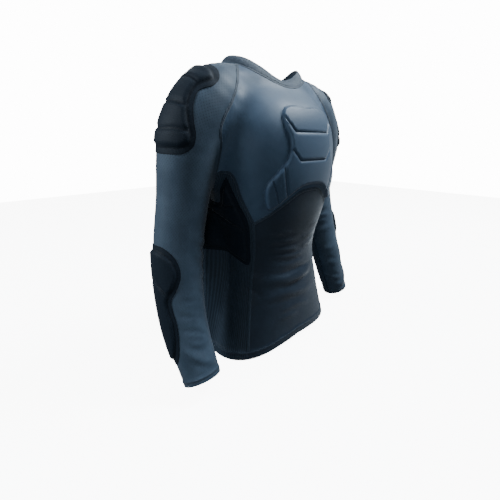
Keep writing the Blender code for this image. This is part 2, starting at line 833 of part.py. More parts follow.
def make_side(side):
    pieces = [
        on_body(SEAMS["hem side", side]),
        on_body(SEAMS["side back", side][::-1]),
        on_body(SEAMS["under back", side][::-1]),
        on_body(SEAMS["under front", side][::-1]),
        on_body(SEAMS["side top", side]),
        on_body(SEAMS["side low", side]),
    ]
    mirror = np.array([side, 1])
    outline = closed_outline(RIB_PAD, BODY_SCALE, PAD_SPACING) * mirror
    grooves = [smooth_run(np.array(rows) * BODY_SCALE, PAD_SPACING) * mirror for rows in RIB_GROOVES]
    ridges = [hem_line(69, 110) * mirror]
    pads = [(outline, shorten(grooves, outline))]
    panel = Panel(pieces, torso_points, BODY_SCALE, BODY_SPACING, pads, ridges)
    make_panel_wall("side_" + SIDES[side], panel, SIDE_MESH, hem=hem_share(panel))
    make_pad("rib_pad_" + SIDES[side], panel, 0, PAD_CLOTH)


def arm_pad(rows, groove_rows, middle):
    """Outline and grooves of a pad that is the same to both sides of a line down the sleeve."""
    turned = [(angle, along) for along, angle in rows]
    outline = closed_outline([(a + middle, b) for a, b in mirrored_rows(turned)], ARM_SCALE, PAD_SPACING)
    grooves = []
    for groove in groove_rows:
        half = [(angle, along) for along, angle in groove]
        whole = [(-angle, along) for angle, along in half[:0:-1]] + half
        grooves.append(smooth_run((np.array(whole) + [middle, 0]) * ARM_SCALE, PAD_SPACING))
    return outline, shorten(grooves, outline)


def make_sleeve(side):
    def on_sleeve(seam, back=False):
        flat = sleeve_flat(seam, side)
        flat[:, 0] -= np.where(back & (flat[:, 0] > 60), 360, 0)
        return flat, seam

    end = lengths_along(AXIS[side][:, :3])[-1]
    front_under = on_sleeve(SEAMS["under front", side])
    cut_angle, cut_start = front_under[0][-1]
    rows = round((end - cut_start) / (SLEEVE_SPACING * SLEEVE_STRETCH)) + 1
    down = np.column_stack([np.full(rows, cut_angle), np.linspace(cut_start, end, rows)])
    cut = sleeve_points(down, side)
    cut[0] = SEAMS["under front", side][-1]
    round_cuff = np.column_stack([np.linspace(cut_angle, cut_angle - 360, 15), np.full(15, end)])
    cuff = sleeve_points(round_cuff, side)
    cuff[0] = cuff[-1] = cut[-1]
    back_under = on_sleeve(SEAMS["under back", side], back=True)
    back_under[0][0] = (cut_angle - 360, cut_start)
    pieces = [
        on_sleeve(SEAMS["raglan front", side]),
        front_under,
        (down, cut),
        (round_cuff, cuff),
        (down[::-1] - [360, 0], cut[::-1]),
        back_under,
        on_sleeve(SEAMS["raglan back", side], back=True),
        on_sleeve(SEAMS["neck sleeve", side][::-1]),
    ]
    counts = np.cumsum([0] + [len(flat) - 1 for flat, _ in pieces])
    first = list(range(counts[2], counts[3] + 1))
    second = list(range(counts[5], counts[4] - 1, -1))
    pads = [
        arm_pad(SHOULDER_PAD, SHOULDER_GROOVES, SHOULDER_MIDDLE),
        arm_pad(ELBOW_PAD, ELBOW_GROOVES, ELBOW_MIDDLE),
    ]
    ridges = [smooth_run(np.array([(a, s) for s, a in rows], float) * ARM_SCALE, SLEEVE_SPACING)
              for _, _, rows in SLEEVE_FOLDS]
    panel = Panel(pieces, lambda flat: sleeve_points(flat, side), ARM_SCALE, SLEEVE_SPACING, pads, ridges,
                  weld=(first, second))
    along = panel.flat[:, 1] / panel.scale[1]
    fold = np.clip((along - end + CUFF_FOLD + 0.02) / 0.02, 0, 1)
    make_panel_wall("sleeve_" + SIDES[side], panel, SLEEVE_CLOTH, hem=fold)
    make_pad("shoulder_pad_" + SIDES[side], panel, 0, PAD_CLOTH)
    make_pad("elbow_pad_" + SIDES[side], panel, 1, PAD_CLOTH)


def make_collar():
    """A ribbed band that rises from the neck seam and leans in towards the neck."""
    runs = [SEAMS["neck front"], SEAMS["neck sleeve", 1], SEAMS["neck back"], SEAMS["neck sleeve", -1][::-1]]
    seam = np.vstack([run[:-1] for run in runs])
    normals = outward(seam)
    turn = np.degrees(np.arctan2(seam[:, 0] / NECK_HALF_WIDTH, (NECK_MIDDLE - seam[:, 1]) / NECK_FRONT))
    rise, lean = through_rows(COLLAR, np.abs(turn)).T
    inward = np.column_stack([-seam[:, 0], NECK_MIDDLE - seam[:, 1], 0 * rise])
    inward /= np.linalg.norm(inward, axis=1)[:, None]
    climb = inward * lean[:, None] + np.outer(rise, [0, 0, 1])
    along = np.roll(seam, -1, axis=0) - np.roll(seam, 1, axis=0)
    upright = np.cross(along, climb)
    upright /= np.linalg.norm(upright, axis=1)[:, None]
    lift = climb / np.linalg.norm(climb, axis=1)[:, None] * SEAM_GAP / 2
    count = len(seam)
    rows, outs = [], []
    for share, crown in ((0, 0), (0.5, 0.0015), (1, 0)):
        row = seam + lift + climb * share + crown * upright
        out = normals * (1 - share) + upright * share
        rows.append(row)
        outs.append(out / np.linalg.norm(out, axis=1)[:, None])
    points, out = np.vstack(rows), np.vstack(outs)
    faces = []
    for level in range(2):
        for k in range(count):
            a, b = level * count + k, level * count + (k + 1) % count
            faces += [(a, b, b + count), (a, b + count, a + count)]
    clad("collar", points, points + COLLAR_CLOTH * out, np.array(faces), COLLAR_RIB)


def main():
    for old in list(bpy.data.objects):
        bpy.data.objects.remove(old)
    make_collar()
    make_front_chest()
    make_front_belly()
    make_back()
    for side in SIDES:
        make_side(side)
        make_sleeve(side)


main()
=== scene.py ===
# %% [markdown]
# # A padded compression shirt, dressed in Blender
# This lesson dresses a long-sleeved sports shirt of tight stretch knit. Foam pads are sewn on at the chest,
# the ribs, the shoulders and the elbows. The shirt is filled out as if somebody wore it, but it is hollow.
# The solids of every cut piece come from the frame. Here each one gets fine cloth, seams, stitches and finish.

# %% Load the frame
import math

import bpy
import numpy as np
from mathutils.geometry import delaunay_2d_cdt
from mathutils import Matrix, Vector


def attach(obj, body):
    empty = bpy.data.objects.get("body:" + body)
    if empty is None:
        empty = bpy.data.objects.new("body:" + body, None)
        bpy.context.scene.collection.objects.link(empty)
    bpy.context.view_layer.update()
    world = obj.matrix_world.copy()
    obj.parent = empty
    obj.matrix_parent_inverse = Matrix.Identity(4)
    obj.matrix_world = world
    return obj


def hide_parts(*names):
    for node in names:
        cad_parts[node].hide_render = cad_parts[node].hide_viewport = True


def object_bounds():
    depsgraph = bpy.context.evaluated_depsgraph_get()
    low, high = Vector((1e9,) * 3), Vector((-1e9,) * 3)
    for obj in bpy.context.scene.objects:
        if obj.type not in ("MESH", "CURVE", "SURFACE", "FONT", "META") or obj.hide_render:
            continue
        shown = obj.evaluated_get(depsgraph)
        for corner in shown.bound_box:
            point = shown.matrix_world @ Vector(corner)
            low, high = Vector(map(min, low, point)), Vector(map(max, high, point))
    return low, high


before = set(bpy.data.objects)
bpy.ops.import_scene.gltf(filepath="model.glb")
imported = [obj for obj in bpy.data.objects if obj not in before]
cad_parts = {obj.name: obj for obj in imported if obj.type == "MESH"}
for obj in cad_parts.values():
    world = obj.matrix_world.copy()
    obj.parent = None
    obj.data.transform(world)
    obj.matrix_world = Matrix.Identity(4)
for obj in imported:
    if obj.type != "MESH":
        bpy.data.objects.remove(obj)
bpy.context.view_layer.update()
print("solids:", ", ".join(sorted(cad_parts)))

# %% [markdown]
# ## The camera
# The shirt is seen from its right front, from chest height and a little above. A short lens near the shirt gives
# the strong perspective that makes the near sleeve long and the far one short. A small shift frames the picture.

# %% Place the camera
CAMERA_AT = (-0.553, -0.548, -0.172)
CAMERA_TURN = -45.741
CAMERA_TILT = 16.236
CAMERA_LENS = 21.592
CAMERA_SHIFT = (-0.0447, -0.0407)
camera = bpy.data.objects.new("camera", bpy.data.cameras.new("camera"))
camera.location = CAMERA_AT
camera.rotation_euler = (math.radians(90 - CAMERA_TILT), 0, math.radians(CAMERA_TURN))
camera.data.lens = CAMERA_LENS
camera.data.shift_x, camera.data.shift_y = CAMERA_SHIFT
camera.data.clip_start = 0.01
bpy.context.scene.collection.objects.link(camera)
bpy.context.scene.camera = camera
print("camera at", CAMERA_AT)

# %% [markdown]
# ## The body form
# Stretch cloth lies close to the body, so all pieces share one smooth form, the same as in the solids. Rounded
# sections make the torso and round sleeves follow their centre lines. A distance field joins them softly at the
# underarms. A mesh could be sculpted instead, but a formula can be asked for a point anywhere, at any fineness.

# %% Tables of the form
CLOTH = 0.0015
SEAM_GAP = 0.0003
TORSO = [
    (-0.700, 0.200, 0.107, 0.112),
    (-0.560, 0.156, 0.096, 0.099),
    (-0.440, 0.134, 0.091, 0.089),
    (-0.320, 0.157, 0.121, 0.098),
    (-0.220, 0.174, 0.134, 0.110),
    (-0.140, 0.168, 0.126, 0.112),
    (-0.100, 0.150, 0.106, 0.110),
    (-0.060, 0.130, 0.064, 0.106),
    (-0.030, 0.112, 0.046, 0.097),
    (0.000, 0.070, 0.020, 0.060),
]
BACK_SPREAD = [
    (-0.700, 0.012, 0.020),
    (-0.560, 0.044, 0.049),
    (-0.440, 0.062, 0.062),
    (-0.380, 0.042, 0.058),
    (-0.330, 0.010, 0.046),
    (-0.290, 0.000, 0.022),
    (-0.250, 0.000, 0.003),
    (-0.220, 0.000, 0.000),
    (0.000, 0.000, 0.000),
]
SECTION_POWER = 2.3
WIDENS_OVER = 0.06
BODY_RADIUS = 0.150
ARM_RIGHT = [
    (0.060, 0.030, -0.066, 0.030),
    (0.106, 0.016, -0.054, 0.040),
    (0.167, 0.008, -0.094, 0.062),
    (0.216, 0.013, -0.170, 0.060),
    (0.238, 0.021, -0.286, 0.052),
    (0.262, 0.017, -0.406, 0.049),
    (0.278, -0.017, -0.539, 0.044),
    (0.280, -0.074, -0.654, 0.037),
]
ARM_LEFT = ARM_RIGHT[:4] + [
    (0.230, 0.033, -0.289, 0.052),
    (0.245, 0.020, -0.412, 0.049),
    (0.258, -0.014, -0.541, 0.044),
    (0.286, -0.036, -0.662, 0.037),
]
ARM_RADIUS = 0.050
ARM_STEPS = 30
CORE = 0.02
UNDERARM_BLEND = 0.030
SIDES = {1: "left", -1: "right"}
FAR = 9.0
# Finding the surface: the reach of a slope, then steps and the share of the gap that each one takes
SLOPE_REACH = 0.0005
SETTLE_STEPS, SETTLE_SHARE = 8, 0.8
MARCH_STEPS, MARCH_SHARE, MARCH_LIMITS = 60, 0.6, (-0.02, 0.03)

# %% Smooth curves through a table's rows
def through_rows(rows, at):
    """The other columns at places along the first column, on smooth curves."""
    rows = np.array(rows, float)
    key, values = rows[:, 0], rows[:, 1:]
    rise = np.diff(values, axis=0) / np.diff(key)[:, None]
    slope = np.vstack([rise[:1], (rise[1:] + rise[:-1]) / 2, rise[-1:]])
    at = np.clip(np.asarray(at, float), key[0], key[-1])
    i = np.clip(np.searchsorted(key, at) - 1, 0, len(key) - 2)
    width = (key[i + 1] - key[i])[:, None]
    t = (at - key[i])[:, None] / width
    return (values[i] * (1 + 2 * t) * (1 - t) ** 2 + slope[i] * width * t * (1 - t) ** 2
            + values[i + 1] * t * t * (3 - 2 * t) + slope[i + 1] * width * t * t * (t - 1))


def unit(rows):
    return rows / np.linalg.norm(rows, axis=1)[:, None]


def lengths_along(points):
    return np.concatenate([[0], np.cumsum(np.linalg.norm(np.diff(points, axis=0), axis=1))])


def smooth_run(rows, spacing):
    """Points about one spacing apart along a smooth curve through the rows."""
    rows = np.array(rows, float)
    along = lengths_along(rows)
    count = max(2, round(along[-1] / spacing) + 1)
    return through_rows(np.column_stack([along, rows]), np.linspace(0, along[-1], count))


def straight_run(rows, spacing):
    """Points along straight stretches between the rows."""
    rows = np.array(rows, float)
    parts = [rows[:1]]
    for start, end in zip(rows[:-1], rows[1:]):
        count = max(1, round(np.linalg.norm(end - start) / spacing))
        parts.append(start + np.arange(1, count + 1)[:, None] / count * (end - start))
    return np.vstack(parts)


def smooth_step(x, low, high):
    t = np.clip((x - low) / (high - low), 0, 1)
    return t * t * (3 - 2 * t)

# %% The form's distance field
def arm_axis(rows):
    numbered = np.column_stack([np.arange(len(rows)), np.array(rows)])
    return through_rows(numbered, np.linspace(0, len(rows) - 1, ARM_STEPS + 1))


AXIS = {1: arm_axis(ARM_LEFT), -1: arm_axis(ARM_RIGHT)}


def torso_gap(p):
    section, added = through_rows(TORSO, p[:, 2]), through_rows(BACK_SPREAD, p[:, 2])
    behind = np.clip(p[:, 1] / WIDENS_OVER, 0, 1)
    half_width = section[:, 0] + added[:, 0] * behind * behind * (3 - 2 * behind)
    depth = np.where(p[:, 1] < 0, section[:, 1], section[:, 2] + added[:, 1])
    across, deep = np.abs(p[:, 0]) / half_width, np.abs(p[:, 1]) / depth
    spread = (across**SECTION_POWER + deep**SECTION_POWER + 1e-12) ** (1 / SECTION_POWER)
    radius = np.hypot(p[:, 0], p[:, 1])
    past_end = np.maximum(p[:, 2] - TORSO[-1][0], 0) + np.maximum(TORSO[0][0] - p[:, 2], 0)
    return radius - radius / spread + past_end


def arm_gap(p, side):
    mirrored = p * [side, 1, 1]
    nearest = np.full(len(p), FAR)
    for start, end in zip(AXIS[side][:-1], AXIS[side][1:]):
        along = end[:3] - start[:3]
        t = np.clip((mirrored - start[:3]) @ along / (along @ along), 0, 1)
        away = mirrored - start[:3] - t[:, None] * along
        nearest = np.minimum(nearest, np.linalg.norm(away, axis=1) - start[3] - t * (end[3] - start[3]))
    return nearest


def form_gap(p):
    """Distance outside the form, with the underarms blended."""
    torso, arms = torso_gap(p), np.empty(len(p))
    for side in SIDES:
        own = p[:, 0] * side >= 0
        if own.any():
            arms[own] = arm_gap(p[own], side)
    share = np.clip(0.5 + 0.5 * (arms - torso) / UNDERARM_BLEND, 0, 1)
    return arms + (torso - arms) * share - UNDERARM_BLEND * share * (1 - share)


def outward(p):
    moves = SLOPE_REACH * np.eye(3)
    return unit(np.column_stack([form_gap(p + move) - form_gap(p - move) for move in moves]))


def settle(p):
    for _ in range(SETTLE_STEPS):
        p = p - SETTLE_SHARE * form_gap(p)[:, None] * outward(p)
    return p


def march(start, direction):
    """Where rays from inside first leave the form."""
    both = np.broadcast_arrays(np.atleast_2d(start), np.atleast_2d(direction))
    start, direction = (np.array(rows) for rows in both)
    reach = np.zeros(len(start))
    for _ in range(MARCH_STEPS):
        gap = form_gap(start + reach[:, None] * direction)
        reach += MARCH_SHARE * np.clip(-gap, *MARCH_LIMITS)
    return start + reach[:, None] * direction


print("form: widest sleeve", max(row[3] for row in ARM_RIGHT) * 2, "m across")

# %% [markdown]
# ## Flat layouts
# A maker cuts cloth flat. The torso is unrolled into (angle, height) and a sleeve into (angle, distance down the
# arm), both scaled to metres. Panels are cut in that flat layout, and the same numbers become the UV map, so that
# ribs and knit run the way the cloth was cut.

# %% Between flat layout and form
BODY_SCALE = np.array([math.radians(1) * BODY_RADIUS, 1])
SLEEVE_STRETCH = 1.35
ARM_SCALE = np.array([math.radians(1) * ARM_RADIUS, 1 / SLEEVE_STRETCH])


def torso_points(flat):
    angle = np.radians(flat[:, 0])
    direction = np.column_stack([np.sin(angle), -np.cos(angle), 0 * angle])
    return march(CORE * direction + np.outer(flat[:, 1], [0, 0, 1]), direction)


def torso_flat(points, turn=0):
    return np.column_stack([np.degrees(np.arctan2(points[:, 0], -points[:, 1])) + turn, points[:, 2]])


def arm_frame(side, along):
    axis = AXIS[side][:, :3]
    run = lengths_along(axis)
    tangents = np.gradient(axis, run, axis=0)
    centre, tangent = (np.column_stack([np.interp(along, run, rows[:, k]) for k in range(3)])
                       for rows in (axis, tangents))
    tangent = unit(tangent)
    front = unit(np.array([0, -1, 0]) + tangent * tangent[:, 1:2])
    return centre, np.cross(front, tangent), front


def sleeve_points(flat, side):
    angle = np.radians(flat[:, 0])[:, None]
    centre, outer, front = arm_frame(side, flat[:, 1])
    mirror = np.array([side, 1, 1])
    return march(centre * mirror, (np.cos(angle) * outer + np.sin(angle) * front) * mirror)


def sleeve_flat(points, side):
    axis = AXIS[side][:, :3]
    fine = np.linspace(0, lengths_along(axis)[-1], 2400)
    centre, outer, front = arm_frame(side, fine)
    mirrored = points * [side, 1, 1]
    nearest = np.linalg.norm(mirrored[:, None] - centre[None], axis=2).argmin(axis=1)
    away = mirrored - centre[nearest]
    angle = np.degrees(np.arctan2((away * front[nearest]).sum(1), (away * outer[nearest]).sum(1)))
    return np.column_stack([angle, fine[nearest]])


ARM_LENGTH = {side: lengths_along(AXIS[side][:, :3])[-1] for side in SIDES}
print("sleeve lengths from neck to cuff:", {SIDES[s]: round(v, 3) for s, v in ARM_LENGTH.items()})

# %% [markdown]
# ## Seams
# Each seam is one line on the form that two pieces share. Raglan seams run from the neck to the underarm, the
# arched seam crosses the front below the chest pad, and two seams a side border the ribbed side panels.

# %% Seam tables
SEAM_SPACING = 0.005
NECK_MIDDLE, NECK_HALF_WIDTH, NECK_FRONT, NECK_BACK = 0.034, 0.116, 0.092, 0.062
NECK_AT_RAGLAN_FRONT, NECK_AT_RAGLAN_BACK = 64, 118
UNDERARM = [-0.021, -0.012, -0.002, 0.007, 0.016, 0.025, 0.034, 0.042]
CREASE_SEARCH = ((0.145, 0.215), (-0.360, -0.150))
RAGLAN_FRONT = [
    (0.122, -0.028, -0.037),
    (0.139, -0.044, -0.065),
    (0.161, -0.054, -0.099),
    (0.178, -0.054, -0.124),
    (0.186, -0.048, -0.145),
    (0.180, -0.034, -0.180),
]
RAGLAN_BACK = [
    (0.170, 0.053, -0.200),
    (0.170, 0.062, -0.160),
    (0.160, 0.078, -0.120),
    (0.135, 0.084, -0.075),
]
SIDE_FRONT_TOP = [(83.5, -0.232), (73.0, -0.234), (67.0, -0.287), (59.5, -0.344)]
SIDE_FRONT_LOW = [(59.5, -0.344), (61.5, -0.407), (65.0, -0.475), (65.5, -0.560), (64.5, -0.684)]
SIDE_BACK = [
    (104.5, -0.240),
    (114.0, -0.270),
    (117.0, -0.340),
    (116.0, -0.450),
    (115.0, -0.560),
    (114.0, -0.678),
]
ARCH = [(0.0, -0.275), (15.0, -0.279), (30.0, -0.299), (46.0, -0.324), (59.5, -0.344)]
HEM = [(0.0, -0.669), (30.0, -0.674), (64.5, -0.684), (90.0, -0.679), (114.0, -0.678), (180.0, -0.682)]

# %% Lay the seams on the form
def neck_ring(angles):
    turn = np.radians(angles)
    depth = np.where(np.cos(turn) > 0, NECK_FRONT, NECK_BACK)
    x, y = NECK_HALF_WIDTH * np.sin(turn), NECK_MIDDLE - depth * np.cos(turn)
    return march(np.column_stack([x, y, np.full(len(x), -0.12)]), [0, 0, 1])


def neck_run(start, end):
    return neck_ring(np.linspace(start, end, round(abs(end - start) / 3) + 1))


def form_run(rows, side, first=None, last=None):
    rows = [np.array(row, float) * [side, 1, 1] for row in rows]
    rows = ([first] if first is not None else []) + rows + ([last] if last is not None else [])
    points = settle(smooth_run(rows, SEAM_SPACING))
    points[0], points[-1] = rows[0], rows[-1]
    return points


def underarm_crease(side, places):
    """The highest free points between a sleeve and the body."""
    across = np.linspace(*CREASE_SEARCH[0], 71)
    low, high = (np.full(len(places), height) for height in CREASE_SEARCH[1])
    for _ in range(24):
        middle = (low + high) / 2
        tried = np.column_stack([np.tile(across * side, len(places)), np.repeat(places, len(across)),
                                 np.repeat(middle, len(across))])
        gaps = form_gap(tried).reshape(len(places), -1)
        free = gaps.max(axis=1) > 0
        low, high = np.where(free, middle, low), np.where(free, high, middle)
    return np.column_stack([side * across[gaps.argmax(axis=1)], places, high])


def body_run(rows, side=1, first=None, last=None):
    points = torso_points(smooth_run(np.array(rows, float) * [side, 1] * BODY_SCALE, SEAM_SPACING) / BODY_SCALE)
    if first is not None:
        points[0] = first
    if last is not None:
        points[-1] = last
    return points


def hem_height(angles):
    return through_rows(HEM, np.abs((np.asarray(angles) + 180) % 360 - 180))[:, 0]


def hem_run(start, end):
    angles = np.linspace(start, end, round(abs(end - start) / 2) + 1)
    return torso_points(np.column_stack([angles, hem_height(angles)]))


SEAMS = {}
for side in SIDES:
    under = underarm_crease(side, UNDERARM)
    front = form_run(RAGLAN_FRONT, side, neck_ring([side * NECK_AT_RAGLAN_FRONT])[0], under[0])
    back = form_run(RAGLAN_BACK, side, under[-1], neck_ring([side * NECK_AT_RAGLAN_BACK])[0])
    lowest = under[:, 2].argmin()
    SEAMS["raglan front", side], SEAMS["raglan back", side] = front, back
    SEAMS["under front", side] = form_run(under[1:lowest] * [side, 1, 1], side, under[0], under[lowest])
    SEAMS["under back", side] = form_run(under[lowest + 1:-1] * [side, 1, 1], side, under[lowest], under[-1])
    low = body_run(SIDE_FRONT_LOW, side)
    SEAMS["side low", side] = low
    SEAMS["side top", side] = body_run(SIDE_FRONT_TOP, side, front[-1], low[0])
    SEAMS["side back", side] = body_run(SIDE_BACK, side, back[0])
    SEAMS["neck sleeve", side] = neck_run(side * NECK_AT_RAGLAN_FRONT, side * NECK_AT_RAGLAN_BACK)
    hem = hem_run(side * SIDE_FRONT_LOW[-1][0], side * SIDE_BACK[-1][0])
    hem[0], hem[-1] = low[-1], SEAMS["side back", side][-1]
    SEAMS["hem side", side] = hem
arch_rows = [(-angle, height) for angle, height in ARCH[:0:-1]] + ARCH
SEAMS["arch"] = body_run(arch_rows, 1, SEAMS["side low", -1][0], SEAMS["side low", 1][0])
SEAMS["neck front"] = neck_run(-NECK_AT_RAGLAN_FRONT, NECK_AT_RAGLAN_FRONT)
SEAMS["neck back"] = neck_run(NECK_AT_RAGLAN_BACK, 360 - NECK_AT_RAGLAN_BACK)
SEAMS["hem front"] = hem_run(-SIDE_FRONT_LOW[-1][0], SIDE_FRONT_LOW[-1][0])
SEAMS["hem front"][[0, -1]] = SEAMS["hem side", -1][0], SEAMS["hem side", 1][0]
SEAMS["hem back"] = hem_run(SIDE_BACK[-1][0], 360 - SIDE_BACK[-1][0])
SEAMS["hem back"][[0, -1]] = SEAMS["hem side", 1][-1], SEAMS["hem side", -1][-1]
print("seams:", len(SEAMS), "runs,", round(sum(lengths_along(run)[-1] for run in SEAMS.values()), 2), "m in all")

# %% [markdown]
# ## Creases
# Tight cloth still creases where the body bends: across the waist, in the elbows and above the cuffs. Each crease
# is given as a line with a height (minus for a trough) and a width, and fades out at both ends.

# %% Crease tables: height, width, then the line
BODY_CREASES = [
    (0.0032, 0.013, [(-62, -0.497), (-45, -0.497), (-12, -0.502), (14, -0.504), (38, -0.500)]),
    (-0.0030, 0.005, [(-48, -0.479), (-28, -0.486), (-9, -0.486), (16, -0.486), (42, -0.488)]),
    (0.0016, 0.006, [(-30, -0.512), (-6, -0.513), (24, -0.508), (38, -0.505)]),
    (-0.0014, 0.005, [(-40, -0.518), (-10, -0.523), (20, -0.520), (40, -0.518)]),
    (0.0020, 0.010, [(-56, -0.540), (-36, -0.537), (0, -0.546), (38, -0.556)]),
    (-0.0012, 0.006, [(-50, -0.556), (-20, -0.560), (20, -0.566)]),
    (0.0015, 0.007, [(-34, -0.584), (-12, -0.581), (12, -0.587), (30, -0.597)]),
    (0.0012, 0.006, [(-38, -0.601), (-19, -0.604), (0, -0.606)]),
    (0.0012, 0.0055, [(-46, -0.366), (-32, -0.371), (-18, -0.375)]),
    (-0.0010, 0.0045, [(-44, -0.379), (-28, -0.385), (-8, -0.389)]),
    (0.0013, 0.0055, [(-48, -0.390), (-30, -0.396), (-8, -0.402)]),
    (-0.0010, 0.0045, [(-46, -0.403), (-26, -0.409), (0, -0.415)]),
    (0.0015, 0.0060, [(-50, -0.414), (-27, -0.421), (4, -0.430)]),
    (-0.0010, 0.0045, [(-46, -0.426), (-20, -0.433), (8, -0.439)]),
    (0.0014, 0.0060, [(-50, -0.431), (-26, -0.439), (2, -0.446), (22, -0.446)]),
    (-0.0009, 0.0050, [(-40, -0.449), (-12, -0.456), (18, -0.458)]),
    (0.0012, 0.0060, [(-44, -0.459), (-12, -0.466), (24, -0.466)]),
    (0.0012, 0.0055, [(18, -0.372), (32, -0.369), (46, -0.363)]),
    (0.0013, 0.0055, [(6, -0.401), (28, -0.397), (48, -0.389)]),
    (0.0013, 0.0060, [(12, -0.426), (30, -0.421), (50, -0.412)]),
    (-0.0012, 0.006, [(-74, -0.505), (-62, -0.515), (-54, -0.538)]),
    (0.0014, 0.008, [(-84, -0.470), (-70, -0.476), (-58, -0.488)]),
    (0.0014, 0.008, [(84, -0.470), (70, -0.476), (58, -0.488)]),
    (0.0028, 0.012, [(122, -0.500), (165, -0.486), (205, -0.490), (238, -0.505)]),
    (-0.0022, 0.006, [(126, -0.478), (165, -0.470), (200, -0.472), (232, -0.482)]),
    (0.0020, 0.010, [(124, -0.455), (180, -0.446), (236, -0.452)]),
    (-0.0014, 0.006, [(132, -0.432), (180, -0.426), (228, -0.430)]),
    (0.0016, 0.009, [(130, -0.412), (180, -0.404), (230, -0.410)]),
    (0.0014, 0.009, [(134, -0.536), (176, -0.528), (226, -0.540)]),
    (0.0012, 0.010, [(140, -0.372), (178, -0.362), (220, -0.370)]),
]
RIGHT_SLEEVE_CREASES = [
    (0.0009, 0.0040, [(0.538, 56), (0.541, 78), (0.544, 104)]),
    (-0.0007, 0.0035, [(0.545, 58), (0.551, 84), (0.552, 108)]),
    (0.0009, 0.0040, [(0.552, 58), (0.562, 87), (0.562, 112)]),
    (0.0010, 0.0042, [(0.563, 48), (0.576, 77), (0.583, 108)]),
    (-0.0008, 0.0038, [(0.576, 52), (0.585, 80), (0.596, 112)]),
    (0.0011, 0.0045, [(0.589, 48), (0.593, 79), (0.613, 118)]),
    (0.0011, 0.0045, [(0.601, 50), (0.610, 87), (0.637, 128)]),
    (-0.0009, 0.0040, [(0.610, 52), (0.620, 87), (0.643, 122)]),
    (0.0012, 0.0045, [(0.616, 46), (0.630, 87), (0.649, 120)]),
    (0.0012, 0.0045, [(0.632, 52), (0.650, 86), (0.654, 126)]),
    (-0.0010, 0.0040, [(0.648, 58), (0.661, 88), (0.662, 122)]),
    (-0.0022, 0.0050, [(0.652, 30), (0.684, 66), (0.700, 100), (0.702, 132)]),
]
LEFT_SLEEVE_CREASES = [
    (0.0020, 0.0055, [(0.443, 168), (0.445, 140), (0.443, 100)]),
    (-0.0018, 0.0045, [(0.453, 168), (0.453, 140), (0.454, 104)]),
    (0.0016, 0.0050, [(0.461, 166), (0.462, 140), (0.466, 104)]),
    (0.0016, 0.0050, [(0.556, 190), (0.558, 141), (0.564, 84)]),
    (-0.0014, 0.0040, [(0.589, 186), (0.590, 136), (0.600, 90)]),
    (0.0014, 0.0055, [(0.600, 186), (0.606, 140), (0.612, 96)]),
    (-0.0016, 0.0045, [(0.620, 180), (0.642, 145), (0.657, 100)]),
    (0.0018, 0.0055, [(0.630, 180), (0.654, 145), (0.667, 100)]),
    (-0.0016, 0.0045, [(0.648, 172), (0.672, 142), (0.679, 100)]),
    (0.0016, 0.0055, [(0.658, 170), (0.680, 140), (0.686, 102)]),
]
BOTH_SLEEVE_CREASES = [
    (0.0024, 0.0085, [(0.640, 28), (0.666, 54), (0.688, 84), (0.694, 112), (0.690, 136)]),
    (0.0016, 0.0070, [(0.300, 150), (0.312, 178), (0.306, 206)]),
    (0.0014, 0.0065, [(0.322, 146), (0.334, 176), (0.330, 204)]),
    (0.0018, 0.0080, [(0.408, 96), (0.420, 130), (0.424, 164), (0.416, 200)]),
    (-0.0014, 0.0050, [(0.426, 100), (0.438, 132), (0.442, 168)]),
    (0.0016, 0.0075, [(0.446, 92), (0.456, 130), (0.460, 168), (0.452, 204)]),
    (0.0015, 0.0070, [(0.488, 92), (0.496, 130), (0.496, 170)]),
    (0.0012, 0.0070, [(0.520, 150), (0.528, 180), (0.524, 212)]),
    (0.0014, 0.0070, [(0.640, 214), (0.656, 250), (0.664, 290)]),
    (0.0012, 0.0060, [(0.664, 200), (0.678, 236), (0.684, 276)]),
]

# %% Turn the crease tables into lines on the form
BODY_CREASE_GAIN, SLEEVE_CREASE_GAIN = 1.3, 1.5
CREASE_MARGIN = 0.02


def crease_lines():
    lines = []
    for height, width, rows in BODY_CREASES:
        height *= BODY_CREASE_GAIN
        flat = smooth_run(np.array(rows, float) * BODY_SCALE, 0.006) / BODY_SCALE
        lines.append((height, width, torso_points(flat)))
    for side, own in ((1, LEFT_SLEEVE_CREASES), (-1, RIGHT_SLEEVE_CREASES)):
        for height, width, rows in own + BOTH_SLEEVE_CREASES:
            height *= SLEEVE_CREASE_GAIN
            flat = smooth_run(np.array([(a, s) for s, a in rows], float) * ARM_SCALE, 0.005) / ARM_SCALE
            lines.append((height, width, sleeve_points(flat, side)))
    return lines


CREASES = crease_lines()


def crease_lift(p):
    """How far the creases raise or sink points of the form."""
    lift = np.zeros(len(p))
    for height, width, line in CREASES:
        reach = np.ptp(line, axis=0) / 2 + 3 * width + CREASE_MARGIN
        near = np.flatnonzero((np.abs(p - line.mean(axis=0)) < reach).all(axis=1))
        if not len(near):
            continue
        apart = np.linalg.norm(p[near][:, None] - line[None], axis=2)
        nearest = apart.argmin(axis=1)
        fade = np.sin(math.pi * np.clip(nearest / (len(line) - 1), 0.01, 0.99)) ** 0.6
        lift[near] += height * fade * np.exp(-((apart.min(axis=1) / width) ** 2))
    return lift


print("creases:", len(CREASES))

# %% [markdown]
# ## Cutting cloth
# A panel is cut like paper: its outline and the lines that matter inside it are fixed, a triangular grid fills the
# rest, and a Delaunay net joins all of them. The flat net is then set on the form. Subdividing the solids would be
# simpler, but their straight edges would show as corners along every seam.

# %% Cut a patch
# In spacings: how far the grid stays from lines, and the longest edge before it is split
CLEAR_OF_LINES, LONGEST_EDGE = 0.5, 2.2
SPLITS = 3


